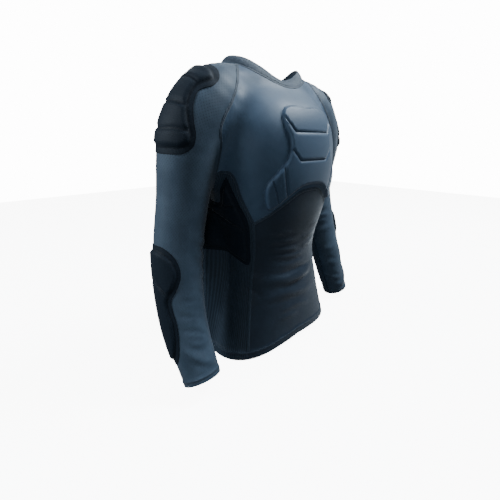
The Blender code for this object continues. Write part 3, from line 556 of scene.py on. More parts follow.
def inside(points, loop):
    found = np.zeros(len(points), bool)
    for start, end in zip(loop, np.roll(loop, -1, axis=0)):
        crosses = (start[1] > points[:, 1]) != (end[1] > points[:, 1])
        with np.errstate(divide="ignore", invalid="ignore"):
            at = start[0] + (points[:, 1] - start[1]) * (end[0] - start[0]) / (end[1] - start[1])
        found ^= crosses & (points[:, 0] < at)
    return found


def distance_to(points, runs):
    """Distance of flat points from the nearest of several runs."""
    best = np.full(len(points), FAR)
    for run in runs:
        for start, end in zip(run[:-1], run[1:]):
            along = end - start
            t = np.clip((points - start) @ along / max(along @ along, 1e-12), 0, 1)
            best = np.minimum(best, np.linalg.norm(points - start - t[:, None] * along, axis=1))
    return best


def closed(loop):
    return np.vstack([loop, loop[:1]])


def grid_in(loop, spacing):
    low, high = loop.min(axis=0), loop.max(axis=0)
    rows = [np.column_stack([np.arange(low[0] + spacing / 2 * (n % 2), high[0], spacing)] * 2) * [1, 0] + [0, y]
            for n, y in enumerate(np.arange(low[1], high[1], spacing * math.sqrt(0.75)))]
    grid = np.vstack(rows)
    return grid[inside(grid, loop)]


class Patch:
    """Cloth cut in the flat layout and set on the form."""

    def __init__(self, loop, place, scale, spacing, loop_points=None, lines=(), weld=None):
        edges, fixed = [], [loop]
        count = len(loop)
        for line in lines:
            edges += [(count + k, count + k + 1) for k in range(len(line) - 1)]
            fixed.append(line)
            count += len(line)
        fixed = np.vstack(fixed)
        grid = grid_in(loop, spacing)
        grid = grid[distance_to(grid, [closed(loop), *lines]) > CLEAR_OF_LINES * spacing]
        for _ in range(SPLITS):
            flat = np.vstack([fixed, grid])
            made = delaunay_2d_cdt([tuple(p) for p in flat], edges, [list(range(len(loop)))], 1, 1e-7)
            self.flat = np.array([tuple(p) for p in made[0]])
            self.triangles = np.array([face for face in made[2] if len(face) == 3])
            self.points = place(self.flat / scale)
            pairs = np.vstack([self.triangles[:, [k, (k + 1) % 3]] for k in range(3)])
            pairs, uses = np.unique(np.sort(pairs, axis=1), axis=0, return_counts=True)
            reach = np.linalg.norm(self.points[pairs[:, 0]] - self.points[pairs[:, 1]], axis=1)
            long = reach > LONGEST_EDGE * spacing
            split = pairs[long & (uses == 2)]
            if not len(split):
                break
            grid = np.vstack([grid, (self.flat[split[:, 0]] + self.flat[split[:, 1]]) / 2])
        number = {old: new for new, olds in enumerate(made[3]) for old in olds}
        if loop_points is not None:
            for old, point in enumerate(loop_points):
                self.points[number[old]] = point
        self.normals = outward(self.points)
        self.corner_uv = self.flat[self.triangles]
        if weld:
            swap = np.arange(len(self.flat))
            for first, second in zip(*weld):
                swap[number[second]] = number[first]
            self.triangles = swap[self.triangles]
        a, b, c = (self.points[self.triangles[:, k]] for k in range(3))
        if (np.cross(b - a, c - a) * self.normals[self.triangles[:, 0]]).sum() < 0:
            self.triangles, self.corner_uv = self.triangles[:, ::-1], self.corner_uv[:, ::-1]
        self.inset(SEAM_GAP / 2)
        self.lift = crease_lift(self.points)

    def inset(self, gap):
        """Draws the cut edge back within the surface."""
        inward = {}
        for a, b in rim_edges(self.triangles):
            along = self.points[b] - self.points[a]
            for corner in (a, b):
                side = np.cross(self.normals[corner], along)
                inward.setdefault(corner, []).append(side / np.linalg.norm(side))
        moved = self.points.copy()
        for corner, sides in inward.items():
            total = np.sum(sides, axis=0) / len(sides)
            moved[corner] += gap * total / max(total @ total, 0.25)
        self.points = moved

    def at(self, offset):
        return self.points + (self.lift + offset)[:, None] * self.normals


def rim_edges(triangles):
    directed = {(int(a), int(b)) for face in triangles for a, b in zip(face, np.roll(face, -1))}
    return [edge for edge in directed if edge[::-1] not in directed]

# %% Turn a patch into a closed wall
def new_piece(name, points, faces, uvs):
    """A smooth mesh object with its flat layout as UV map."""
    mesh = bpy.data.meshes.new(name)
    mesh.from_pydata(points.tolist(), [], faces)
    layer = mesh.uv_layers.new(name="cut")
    layer.data.foreach_set("uv", np.array(uvs, np.float32).ravel())
    mesh.shade_smooth()
    piece = bpy.data.objects.new(name, mesh)
    bpy.context.scene.collection.objects.link(piece)
    return piece


def cloth_wall(name, patch, inner, outer):
    """One closed wall between two layers of a patch."""
    used = np.unique(patch.triangles)
    number = np.zeros(len(patch.points), int)
    number[used] = np.arange(len(used))
    faces = number[patch.triangles]
    count = len(used)
    rim = rim_edges(faces)
    walls = [(b, a, a + count, b + count) for a, b in rim]
    flat = np.zeros((len(patch.points), 2))
    flat[patch.triangles.ravel()] = patch.corner_uv.reshape(-1, 2)
    flat = flat[used]
    corners = [patch.corner_uv.reshape(-1, 2), patch.corner_uv[:, ::-1].reshape(-1, 2)]
    corners.append(np.array([flat[k % count] for wall in walls for k in wall]).reshape(-1, 2))
    layers = np.vstack([outer[used], inner[used]])
    faces = faces.tolist() + (faces[:, ::-1] + count).tolist() + walls
    piece = new_piece(name, layers, faces, np.vstack(corners))
    piece.data.set_sharp_from_angle(angle=math.radians(55))
    a, b, c = (outer[patch.triangles[:, k]] for k in range(3))
    piece["cut_area"] = float(np.linalg.norm(np.cross(b - a, c - a), axis=1).sum() / 2)
    return piece


print("walls are", CLOTH * 1000, "mm thick")

# %% [markdown]
# ## Body panels
# Front, back and sides are smooth knit, one closed wall each. The lower edge is turned up 20 mm and stitched, which
# makes it double and a little thicker, so the wall steps out there along a line that is part of the net.

# %% Make the body panels
BODY_SPACING = 0.0055
HEM_FOLD = 0.020
FOLD_EXTRA = 0.0008
FOLD_STEP = 0.0015


def joined(parts):
    """Runs laid end to end: their flat loop and the points they share with other panels."""
    return np.vstack([flat[:-1] for flat, _ in parts]), np.vstack([points[:-1] for _, points in parts])


def on_body(run, turn=0):
    return torso_flat(run, turn), run


def fold_lines(start, end):
    angles = np.linspace(start, end, round(abs(end - start) / 2) + 1)
    return [np.column_stack([angles, hem_height(angles) + HEM_FOLD + extra]) * BODY_SCALE
            for extra in (0, FOLD_STEP)]


def make_body_panel(name, parts, lines=()):
    flat, points = joined(parts)
    patch = Patch(flat * BODY_SCALE, torso_points, BODY_SCALE, BODY_SPACING, points, lines)
    above = patch.flat[:, 1] - hem_height(patch.flat[:, 0] / BODY_SCALE[0]) - HEM_FOLD
    thick = CLOTH + FOLD_EXTRA * (1 - smooth_step(above, 0, FOLD_STEP)) * (len(lines) > 0)
    return cloth_wall(name + "_cloth", patch, patch.at(0), patch.at(thick))


def back_part(seam):
    flat, points = on_body(seam)
    return flat + (flat[:, :1] < 0) * [360, 0], points


cloths = {
    "front_chest": make_body_panel("front_chest", [
        on_body(SEAMS["arch"]), on_body(SEAMS["side top", 1][::-1]), on_body(SEAMS["raglan front", 1][::-1]),
        on_body(SEAMS["neck front"][::-1]), on_body(SEAMS["raglan front", -1]), on_body(SEAMS["side top", -1]),
    ]),
    "front_belly": make_body_panel("front_belly", [
        on_body(SEAMS["hem front"]), on_body(SEAMS["side low", 1][::-1]), on_body(SEAMS["arch"][::-1]),
        on_body(SEAMS["side low", -1]),
    ], fold_lines(-61, 61)),
    "back": make_body_panel("back", [
        back_part(SEAMS["hem back"]), back_part(SEAMS["side back", -1][::-1]), back_part(SEAMS["raglan back", -1]),
        back_part(SEAMS["neck back"][::-1]), back_part(SEAMS["raglan back", 1][::-1]),
        back_part(SEAMS["side back", 1]),
    ], fold_lines(117, 243)),
}
for side in SIDES:
    cloths["side_" + SIDES[side]] = make_body_panel("side_" + SIDES[side], [
        on_body(SEAMS["hem side", side]), on_body(SEAMS["side back", side][::-1]),
        on_body(SEAMS["under back", side][::-1]), on_body(SEAMS["under front", side][::-1]),
        on_body(SEAMS["side top", side]), on_body(SEAMS["side low", side]),
    ], fold_lines(68 * side, 111 * side))
for name, piece in cloths.items():
    print(name, len(piece.data.polygons), "faces,", round(piece["cut_area"], 4), "m2")

# %% [markdown]
# ## Sleeves
# Each raglan sleeve is one cut piece, closed along the underarm into a tube. It widens to the underarm, where it
# meets the side panel, and its cuff is a 12 mm turned and stitched fold.

# %% Make the sleeves
SLEEVE_SPACING = 0.0055
CUFF_FOLD = 0.012
CUFF_POINTS, FOLD_POINTS = 49, 90
FOLD_ENDS = 4


def make_sleeve(side):
    def on_sleeve(run, back=False):
        flat = sleeve_flat(run, side)
        flat[:, 0] -= np.where(back & (flat[:, 0] > 60), 360, 0)
        return flat, run

    end = ARM_LENGTH[side]
    front_under = on_sleeve(SEAMS["under front", side])
    cut_angle, cut_start = front_under[0][-1]
    rows = round((end - cut_start) / (SLEEVE_SPACING * 1.2)) + 1
    down = np.column_stack([np.full(rows, cut_angle), np.linspace(cut_start, end, rows)])
    cut = sleeve_points(down, side)
    cut[0] = SEAMS["under front", side][-1]
    SEAMS["sleeve cut", side] = cut
    round_cuff = np.column_stack([np.linspace(cut_angle, cut_angle - 360, CUFF_POINTS), np.full(CUFF_POINTS, end)])
    cuff = sleeve_points(round_cuff, side)
    cuff[0] = cuff[-1] = cut[-1]
    back_under = on_sleeve(SEAMS["under back", side], back=True)
    back_under[0][0] = (cut_angle - 360, cut_start)
    parts = [
        on_sleeve(SEAMS["raglan front", side]), front_under, (down, cut), (round_cuff, cuff),
        (down[::-1] - [360, 0], cut[::-1]), back_under, on_sleeve(SEAMS["raglan back", side], back=True),
        on_sleeve(SEAMS["neck sleeve", side][::-1]),
    ]
    counts = np.cumsum([0] + [len(flat) - 1 for flat, _ in parts])
    weld = (range(counts[2], counts[3] + 1), range(counts[5], counts[4] - 1, -1))
    angles = np.linspace(cut_angle - FOLD_ENDS, cut_angle - 360 + FOLD_ENDS, FOLD_POINTS)
    lines = [np.column_stack([angles, np.full(FOLD_POINTS, end - CUFF_FOLD - extra)]) * ARM_SCALE
             for extra in (0, FOLD_STEP)]
    flat, points = joined(parts)
    patch = Patch(flat * ARM_SCALE, lambda p: sleeve_points(p, side), ARM_SCALE, SLEEVE_SPACING,
                  points, lines, weld)
    short = end - patch.flat[:, 1] / ARM_SCALE[1]
    thick = CLOTH + FOLD_EXTRA * (1 - smooth_step(short, CUFF_FOLD, CUFF_FOLD + FOLD_STEP))
    return cloth_wall(f"sleeve_{SIDES[side]}_cloth", patch, patch.at(0), patch.at(thick))


for side in SIDES:
    name = "sleeve_" + SIDES[side]
    cloths[name] = make_sleeve(side)
    print(name, len(cloths[name].data.polygons), "faces,", round(cloths[name]["cut_area"], 4), "m2")

# %% [markdown]
# ## Foam pads
# A pad is foam between two cloths, stitched flat along its rim and pressed down in grooves, which let it bend. The
# rim stays about 1 mm thick and the foam swells to 6 mm behind it. Lines beside the rim and the grooves are part
# of the net, so the bevels run clean along them.

# %% Pad tables and maker
FOAM = 0.0062
# Heights and widths: (at the edge, width of the flat rim, where the foam is full), (in a groove, half its width)
CHEST_STYLE = ((0.0011, 0.0026, 0.0070), (0.0036, 0.0034))
DARK_STYLE = ((0.0011, 0.0080, 0.0125), (0.0034, 0.0038))
PAD_SPACING = 0.0034
CHEST_PAD = [
    (0.0, -0.100), (20.0, -0.098), (32.0, -0.104), (35.5, -0.117), (33.5, -0.140), (29.5, -0.166), (29.5, -0.190),
    (33.0, -0.210), (40.0, -0.231), (48.5, -0.257), (50.0, -0.275), (47.5, -0.312), (46.0, -0.314), (29.5, -0.289),
    (15.0, -0.269), (0.0, -0.265),
]
CHEST_GROOVES = [
    [(-34.0, -0.122), (-23.5, -0.153), (23.5, -0.153), (34.0, -0.122)],
    [(-29.2, -0.180), (-18.7, -0.210), (18.7, -0.210), (29.2, -0.180)],
]
CHEST_RIB_GROOVES = [
    [(34.2, -0.214), (32.8, -0.248), (30.0, -0.290)],
    [(43.8, -0.242), (40.5, -0.270), (38.0, -0.302)],
]
RIB_PAD = [
    (76.5, -0.240), (71.0, -0.287), (63.8, -0.344), (65.3, -0.400), (68.5, -0.450), (82.0, -0.437), (96.0, -0.424),
    (112.0, -0.406), (113.0, -0.350), (110.5, -0.305), (97.0, -0.300), (89.0, -0.300), (84.0, -0.268),
]
RIB_GROOVES = [
    [(69.2, -0.304), (80.0, -0.303), (89.0, -0.300)],
    [(65.3, -0.362), (79.0, -0.344), (98.0, -0.324), (111.4, -0.314)],
]
SHOULDER_MIDDLE = 0
SHOULDER_PAD = [
    (0.089, 0), (0.092, 22), (0.100, 45), (0.112, 57), (0.125, 57), (0.146, 43), (0.165, 45), (0.190, 57),
    (0.212, 68), (0.228, 68), (0.243, 54), (0.249, 28), (0.251, 0),
]
SHOULDER_GROOVES = [
    [(0.130, 0), (0.134, 25), (0.141, 46)],
    [(0.174, 0), (0.174, 25), (0.176, 49)],
    [(0.215, 0), (0.210, 35), (0.207, 65)],
]
ELBOW_MIDDLE = -12
ELBOW_PAD = [
    (0.430, 0), (0.434, 38), (0.452, 63), (0.476, 75), (0.497, 76), (0.523, 65), (0.545, 49), (0.565, 50),
    (0.589, 54), (0.625, 50), (0.655, 36), (0.672, 15), (0.674, 0),
]
ELBOW_GROOVES = [[(0.498, 0), (0.518, 30), (0.543, 49)]]


def beside(run, offset, keep_from):
    """Stretches of a line's parallels that keep their distance from other lines."""
    found = []
    ahead = np.gradient(run, axis=0)
    across = ahead[:, ::-1] * [1, -1] / np.maximum(np.linalg.norm(ahead, axis=1), 1e-9)[:, None]
    for sign in (1, -1):
        moved = run + sign * offset * across
        clear = inside(moved, keep_from[0]) & (distance_to(moved, keep_from) > 0.96 * offset)
        for block in np.split(np.arange(len(run)), np.flatnonzero(np.diff(clear.astype(int))) + 1):
            if clear[block[0]] and len(block) > 2:
                found.append(moved[block])
    return found


def make_pad(name, style, place, scale, outline, grooves):
    """A foam pad that lies on a panel, with its rim and grooves sewn down."""
    (edge, flat_rim, full), (pressed_to, half_groove) = style
    rim = closed(outline)
    grooves = [g[inside(g, outline) & (distance_to(g, [rim]) > 0.0035)] for g in grooves]
    keep = [rim, *grooves]
    lines = list(grooves)
    for offset in (flat_rim, (flat_rim + full) / 2, full):
        lines += beside(rim, offset, keep)
    for groove in grooves:
        lines += beside(groove, half_groove / 2, keep) + beside(groove, half_groove, keep)
    patch = Patch(outline, place, scale, PAD_SPACING, lines=lines)
    from_rim, from_groove = distance_to(patch.flat, [rim]), distance_to(patch.flat, grooves)
    swell = smooth_step(from_rim, flat_rim - 0.0008, full)
    pressed = smooth_step(from_groove, 0.0002, half_groove)
    rise = np.minimum(edge + (FOAM - edge) * swell, pressed_to + (FOAM - pressed_to) * pressed)
    rise *= 0.8 + 0.2 * smooth_step(from_rim, 0, 0.001)
    base = CLOTH + SEAM_GAP
    piece = cloth_wall(name, patch, patch.at(base), patch.at(base + rise))
    used = np.unique(patch.triangles)
    for label, values in (("rim_distance", from_rim), ("groove_distance", np.minimum(from_groove, 1))):
        layer = piece.data.attributes.new(label, "FLOAT", "POINT")
        layer.data.foreach_set("value", np.tile(values[used], 2).astype(np.float32))
    return piece


def smooth_loop(rows, scale):
    return smooth_run(np.array(rows + rows[:1], float) * scale, PAD_SPACING)[:-1]


def both_ways(rows):
    """Rows down one side, and back up the other."""
    return rows + [(-angle, other) for angle, other in rows[-2:0:-1]]

# %% Make the pads
pads = {}
chest_grooves = [straight_run(np.array(rows) * BODY_SCALE, PAD_SPACING) for rows in CHEST_GROOVES]
for rows in CHEST_RIB_GROOVES:
    chest_grooves += [smooth_run(np.array(rows) * [side, 1] * BODY_SCALE, PAD_SPACING) for side in SIDES]
pads["chest_pad"] = make_pad("chest_pad_foam", CHEST_STYLE, torso_points, BODY_SCALE,
                             smooth_loop(both_ways(CHEST_PAD), BODY_SCALE), chest_grooves)
for side in SIDES:
    turned = np.array([side, 1])
    pads["rib_pad_" + SIDES[side]] = make_pad(
        f"rib_pad_{SIDES[side]}_foam", DARK_STYLE, torso_points, BODY_SCALE, smooth_loop(RIB_PAD, BODY_SCALE) * turned,
        [smooth_run(np.array(rows) * BODY_SCALE, PAD_SPACING) * turned for rows in RIB_GROOVES])
    for kind, rows, groove_rows, middle in (("shoulder", SHOULDER_PAD, SHOULDER_GROOVES, SHOULDER_MIDDLE),
                                            ("elbow", ELBOW_PAD, ELBOW_GROOVES, ELBOW_MIDDLE)):
        outline = smooth_loop([(a + middle, s) for a, s in both_ways([(a, s) for s, a in rows])], ARM_SCALE)
        grooves = []
        for groove in groove_rows:
            half = [(a, s) for s, a in groove]
            whole = np.array([(-a, s) for a, s in half[:0:-1]] + half) + [middle, 0]
            grooves.append(smooth_run(whole * ARM_SCALE, PAD_SPACING))
        name = f"{kind}_pad_{SIDES[side]}"
        pads[name] = make_pad(name + "_foam", DARK_STYLE, lambda p, s=side: sleeve_points(p, s), ARM_SCALE,
                              outline, grooves)
for name, piece in pads.items():
    print(name, len(piece.data.polygons), "faces")

# %% [markdown]
# ## Collar
# The neck is finished with a low band of rib knit, folded over at the top. It is one closed section carried round
# the neck seam, a little lower in front than behind.

# %% Make the collar
COLLAR = [
    (0, 0.013, 0.018),
    (60, 0.017, 0.012),
    (90, 0.018, 0.010),
    (180, 0.017, 0.010),
]
COLLAR_CLOTH = 0.0020
COLLAR_CROWN = 0.0015
COLLAR_SIDES = 240


def ring_mesh(name, sections, uv_rows):
    """Closed sections carried round a ring, with UV from length round the ring and along the section."""
    count, ring = sections.shape[1], sections.shape[0]
    faces, uvs = [], []
    for k in range(ring):
        for j in range(count):
            following = (j + 1) % count
            after = (k + 1) % ring
            faces.append((k * count + j, k * count + following, after * count + following, after * count + j))
            v0, v1 = uv_rows[1][j], uv_rows[1][j + 1]
            u0, u1 = uv_rows[0][k], uv_rows[0][k + 1]
            uvs += [(u0, v0), (u0, v1), (u1, v1), (u1, v0)]
    piece = new_piece(name, sections.reshape(-1, 3), faces, uvs)
    piece.data.set_sharp_from_angle(angle=math.radians(50))
    return piece


def make_collar():
    seam = neck_ring(np.arange(COLLAR_SIDES) * 360 / COLLAR_SIDES)
    normals = outward(seam)
    turn = np.degrees(np.arctan2(seam[:, 0] / NECK_HALF_WIDTH, (NECK_MIDDLE - seam[:, 1]) / NECK_FRONT))
    rise, lean = through_rows(COLLAR, np.abs(turn)).T
    inward = unit(np.column_stack([-seam[:, 0], NECK_MIDDLE - seam[:, 1], 0 * rise]))
    climb = inward * lean[:, None] + np.outer(rise, [0, 0, 1])
    along = np.roll(seam, -1, axis=0) - np.roll(seam, 1, axis=0)
    upright = unit(np.cross(along, climb))
    height = np.linalg.norm(climb, axis=1)[:, None]
    lift = climb / height * SEAM_GAP / 2
    half = COLLAR_CLOTH / 2
    round_top = [(1.0, half * math.sin(a), half + half * math.cos(a)) for a in np.radians([30, 60, 90, 120, 150])]
    profile = [(s, 0, COLLAR_CLOTH) for s in np.linspace(0, 1, 9)]
    profile += [(s, up, off) for s, up, off in round_top] + [(s, 0, 0) for s in np.linspace(1, 0, 9)]
    sections = []
    for share, up, off in profile:
        out = unit(normals * (1 - share) + upright * share)
        base = seam + lift + climb * share + COLLAR_CROWN * math.sin(math.pi * share) * upright
        sections.append(base + off * out + up * climb / height)
    sections = np.stack(sections, axis=1)
    down = lengths_along(sections[0])
    down = np.append(down, down[-1] + COLLAR_CLOTH)
    round_it = lengths_along(closed(seam))
    piece = ring_mesh("collar_band", sections, (round_it, down))
    outside = np.cross(sections[0, 1] - sections[0, 0], sections[1, 0] - sections[0, 0])
    if outside @ normals[0] > 0:
        piece.data.flip_normals()
    piece["cut_area"] = float(round_it[-1] * 2 * height.mean())
    piece["cut_length"] = float(round_it[-1])
    return piece


cloths["collar"] = make_collar()
print("collar", round(cloths["collar"]["cut_length"], 3), "m round,", round(cloths["collar"]["cut_area"], 4), "m2")

# %% [markdown]
# ## Flat seams
# Sports shirts use flat seams: the two edges butt together and rows of thread bridge them, so nothing rubs. Each is
# a low ribbon, 6 mm wide and half a millimetre proud, that follows the seam and its creases.

# %% Make the seam ribbons
SEAM_PROFILE = [(-1.0, 0.25), (-0.7, 0.75), (-0.25, 0.55), (0.25, 0.55), (0.7, 0.75), (1.0, 0.25)]
RIBBON_SPACING = 0.004


def ribbon(run, half_width, proud, under=0.0, ring=False):
    """Points, faces and UV of a low ribbon along a run on the form."""
    run = straight_run(run, RIBBON_SPACING) if not ring else run
    ahead = np.roll(run, -1, axis=0) - np.roll(run, 1, axis=0) if ring else np.gradient(run, axis=0)
    across = unit(np.cross(outward(run), ahead))
    along = lengths_along(closed(run) if ring else run)
    tops, feet = [], []
    for place, rise in SEAM_PROFILE:
        base = run + place * half_width * across
        base -= form_gap(base)[:, None] * outward(base)
        normal = outward(base)
        base += (crease_lift(base) + CLOTH + under + 0.0001)[:, None] * normal
        tops.append(base + proud * rise * normal)
        feet.append(base)
    sections = np.stack(tops + feet[::-1], axis=1)
    count, wide = sections.shape[1], len(SEAM_PROFILE)
    rows = len(run) if ring else len(run) - 1
    faces, uvs = [], []
    sides = [place * half_width for place, _ in SEAM_PROFILE]
    sides = np.array(sides + sides[::-1])
    for k in range(rows):
        after = (k + 1) % len(run)
        for j in range(count):
            following = (j + 1) % count
            faces.append((k * count + j, after * count + j, after * count + following, k * count + following))
            uvs += [(along[k], sides[j]), (along[k + 1], sides[j]), (along[k + 1], sides[following]),
                    (along[k], sides[following])]
    if not ring:
        for k, order in ((0, 1), (len(run) - 1, -1)):
            faces.append(tuple(k * count + j for j in range(count))[::order])
            uvs += [(along[k], sides[j]) for j in range(count)][::order]
    return sections.reshape(-1, 3), faces, uvs


def make_seams(name, ribbons):
    """One object from several ribbons."""
    points, faces, uvs, start = [], [], [], 0
    for made in ribbons:
        points.append(made[0])
        faces += [tuple(k + start for k in face) for face in made[1]]
        uvs += made[2]
        start += len(made[0])
    piece = new_piece(name, np.vstack(points), faces, uvs)
    bpy.ops.object.select_all(action="DESELECT")
    piece.select_set(True)
    bpy.context.view_layer.objects.active = piece
    bpy.ops.object.mode_set(mode="EDIT")
    bpy.ops.mesh.select_all(action="SELECT")
    bpy.ops.mesh.normals_make_consistent(inside=False)
    bpy.ops.object.mode_set(mode="OBJECT")
    return piece


SEAM_HALF_WIDTH, SEAM_PROUD = 0.0031, 0.0007
NECK_SEAM_BELOW = 0.0036
STITCHES_PROUD, STITCHES_IN_FOLD = 0.0005, 0.003
seams = {}
for side, word in SIDES.items():
    side_front = np.vstack([SEAMS["side top", side], SEAMS["side low", side][1:]])
    for kind, runs, half_width, proud in (
        ("raglan", [SEAMS["raglan front", side], SEAMS["raglan back", side]], SEAM_HALF_WIDTH, SEAM_PROUD),
        ("side", [side_front, SEAMS["side back", side]], SEAM_HALF_WIDTH, SEAM_PROUD * 0.9),
        ("sleeve", [SEAMS["sleeve cut", side][2:]], 0.0025, SEAM_PROUD * 0.8),
    ):
        made = [ribbon(run, half_width, proud) for run in runs]
        seams[f"{kind}_{word}"] = make_seams(f"seam_{kind}_{word}", made)
seams["arch"] = make_seams("seam_arch", [ribbon(SEAMS["arch"], SEAM_HALF_WIDTH, SEAM_PROUD * 0.8)])


def neck_below(offset):
    seam = neck_ring(np.arange(180) * 2.0)
    ahead = np.roll(seam, -1, axis=0) - np.roll(seam, 1, axis=0)
    away = unit(np.cross(ahead, outward(seam)))
    away *= np.sign((away * (seam - [0, NECK_MIDDLE, 0])).sum(axis=1))[:, None]
    return settle(seam + offset * away)


seams["neck"] = make_seams("seam_neck", [ribbon(neck_below(NECK_SEAM_BELOW), 0.0028, SEAM_PROUD, ring=True)])
turn = np.arange(0, 360, 2.0)
hem_ring = torso_points(np.column_stack([turn, hem_height(turn) + HEM_FOLD - STITCHES_IN_FOLD]))
seams["hem"] = make_seams("seam_hem", [ribbon(hem_ring, 0.0020, STITCHES_PROUD, FOLD_EXTRA, ring=True)])
turn = np.arange(0, 360, 4.0)
for side, word in SIDES.items():
    place = np.full(len(turn), ARM_LENGTH[side] - CUFF_FOLD + STITCHES_IN_FOLD)
    ring = sleeve_points(np.column_stack([turn, place]), side)
    made = ribbon(ring, 0.0018, STITCHES_PROUD, FOLD_EXTRA, ring=True)
    seams["cuff_" + word] = make_seams("seam_cuff_" + word, [made])
print("seam objects:", len(seams), "with", sum(len(o.data.polygons) for o in seams.values()), "faces")

# %% [markdown]
# ## Knit materials
# All cloth is polyester and elastane knit. A small class wraps shader sockets, so masks can be written as sums.
# Colours vary a little with fine noise, and knit, ribs and mesh are bumps that run with the cut cloth's UV map.

# %% Shader helper
class Socket:
    """A shader value that can be used in sums."""

    def __init__(self, paint, socket):
        self.paint, self.socket = paint, socket

    def math(self, operation, *others):
        values = dict(enumerate((self, *others)))
        return self.paint.node("Math", {"operation": operation}, values)

    def __add__(self, other): return self.math("ADD", other)
    def __radd__(self, other): return self.math("ADD", other)
    def __sub__(self, other): return self.math("SUBTRACT", other)
    def __rsub__(self, other): return (self * -1).math("ADD", other)
    def __mul__(self, other): return self.math("MULTIPLY", other)
    def __rmul__(self, other): return self.math("MULTIPLY", other)

    def band(self, low, high):
        """0 at low, 1 at high, smooth between."""
        values = {"Value": self, "From Min": low, "From Max": high}
        return self.paint.node("MapRange", {"interpolation_type": "SMOOTHSTEP"}, values, "Result")


class Paint:
    """A material in the making."""

    def __init__(self, name, roughness, sheen=0.0, specular=0.5):
        self.material = bpy.data.materials.new(name)
        self.material.use_nodes = True
        self.tree = self.material.node_tree
        self.shader = self.tree.nodes["Principled BSDF"]
        for key, value in (("Roughness", roughness), ("Sheen Weight", sheen), ("Sheen Roughness", 0.4),
                           ("Specular IOR Level", specular)):
            self.shader.inputs[key].default_value = value
        split = self.tree.nodes.new("ShaderNodeSeparateXYZ")
        self.feed(split.inputs[0], self.node("TexCoord", output="UV"))
        self.u, self.v = Socket(self, split.outputs[0]), Socket(self, split.outputs[1])
        self.place = self.node("TexCoord", output="Object")

    def feed(self, entry, value):
        if isinstance(value, Socket):
            self.tree.links.new(value.socket, entry)
        elif entry.type == "RGBA":
            entry.default_value = (*value, 1)
        else:
            entry.default_value = value

    def node(self, kind, settings=None, sockets=None, output=0):
        """Any other node, by type, settings and sockets."""
        node = self.tree.nodes.new("ShaderNode" + kind)
        for key, value in (settings or {}).items():
            setattr(node, key, value)
        for key, value in (sockets or {}).items():
            self.feed(node.inputs[key], value)
        return Socket(self, node.outputs[output])

    def noise(self, scale, detail=2.0):
        return self.node("TexNoise", sockets={"Vector": self.place, "Scale": scale, "Detail": detail}, output="Fac")

    def blend(self, share, first, second):
        """A colour between two, by a share."""
        return self.node("Mix", {"data_type": "RGBA"}, {0: share, 6: first, 7: second}, 2)

    def attribute(self, name):
        return self.node("Attribute", {"attribute_name": name}, output="Fac")

    def bump(self, height, depth):
        normal = self.node("Bump", sockets={"Distance": depth, "Height": height})
        self.feed(self.shader.inputs["Normal"], normal)

    def finish(self, colour, roughness=None):
        self.feed(self.shader.inputs["Base Color"], colour)
        if roughness is not None:
            self.feed(self.shader.inputs["Roughness"], roughness)
        return self.material


def wave(value, length):
    """0 to 1 and back along a value, once every length."""
    return (value * (2 * math.pi / length)).math("SINE") * 0.5 + 0.5

# %% Make the cloth materials
STITCH = 0.0016


def knit(name, base, light, roughness=0.6, sheen=0.3, specular=0.4, ribs=0.0, dots=0.0, bumpy=0.00012):
    """Plain knit with fine wales, and ribs or a grid of dots where the cloth has them."""
    paint = Paint(name, roughness, sheen, specular)
    cloudy = paint.noise(26.0, 3.0).band(0.3, 0.7)
    fine = paint.noise(900.0, 2.0)
    loops = wave(paint.u, STITCH) * wave(paint.v, STITCH * 0.8)
    shade = cloudy * 0.35 + fine * 0.4 + loops * 0.25
    height = loops * 0.5 + fine * 0.5
    if ribs:
        rib = wave(paint.u, ribs)
        shade = shade * 0.5 + rib * 0.5
        height = height * 0.3 + rib
    if dots:
        spots = (wave(paint.u + paint.v, dots) * wave(paint.u - paint.v, dots)).band(0.45, 0.75)
        shade = shade * (1 - spots * 0.75)
        height = height * 0.5 - spots * 0.8
    paint.bump(height, bumpy)
    return paint.finish(paint.blend(shade, base, light), roughness + 0.12 * (cloudy - 0.5))


def pad_knit(name, base, light, flat_rim, roughness=0.66, sheen=0.08, specular=0.22):
    """Pad cloth with a sewn rim: painted shade in the grooves, a stitch row painted dark as shade at the foot of the
    foam, and a cut edge of dark thread and painted shade.
    """
    paint = Paint(name, roughness, sheen, specular)
    fine = paint.noise(900.0, 2.0)
    mesh_holes = (wave(paint.u, 0.0022) * wave(paint.v, 0.0022)).band(0.4, 0.8)
    rim = paint.attribute("rim_distance")
    groove = paint.attribute("groove_distance")
    past = rim.band(flat_rim + 0.0008, flat_rim + 0.0014)
    # A stitch row where the foam rises from the flat rim, painted darker as the shade at the foot of the foam.
    stitch_row_and_foot_shade = rim.band(flat_rim - 0.0022, flat_rim - 0.0016) * (1 - past)
    # Dark edge thread with painted shade at the cut edge, and painted shade in the pressed grooves.
    edge = 1 - rim.band(0.0008, 0.0014)
    painted_shade_and_edge_thread = (1 - (1 - groove.band(0.0006, 0.0018)) * 0.85) * (1 - edge * 0.7)
    shade = (fine * 0.6 + mesh_holes * 0.4) * (1 - stitch_row_and_foot_shade * 0.8) * painted_shade_and_edge_thread
    paint.bump(mesh_holes * 0.6 + fine * 0.4 - stitch_row_and_foot_shade * 1.5, 0.00015)
    return paint.finish(paint.blend(shade, base, light))


def seam_thread(name, base, light):
    """Flat seam: two rows of slanting stitches with a lighter band between."""
    paint = Paint(name, 0.6, 0.3, 0.4)
    side = paint.v.math("ABSOLUTE")
    slant = wave(paint.u + paint.v * 0.6, 0.0021)
    rows = side.band(0.0010, 0.0014) * (1 - side.band(0.0022, 0.0026))
    shade = rows * slant * 0.7 + (1 - rows) * 0.35
    paint.bump(rows * slant + (1 - rows) * wave(paint.u, 0.0011) * 0.3, 0.0003)
    return paint.finish(paint.blend(shade, base, light))


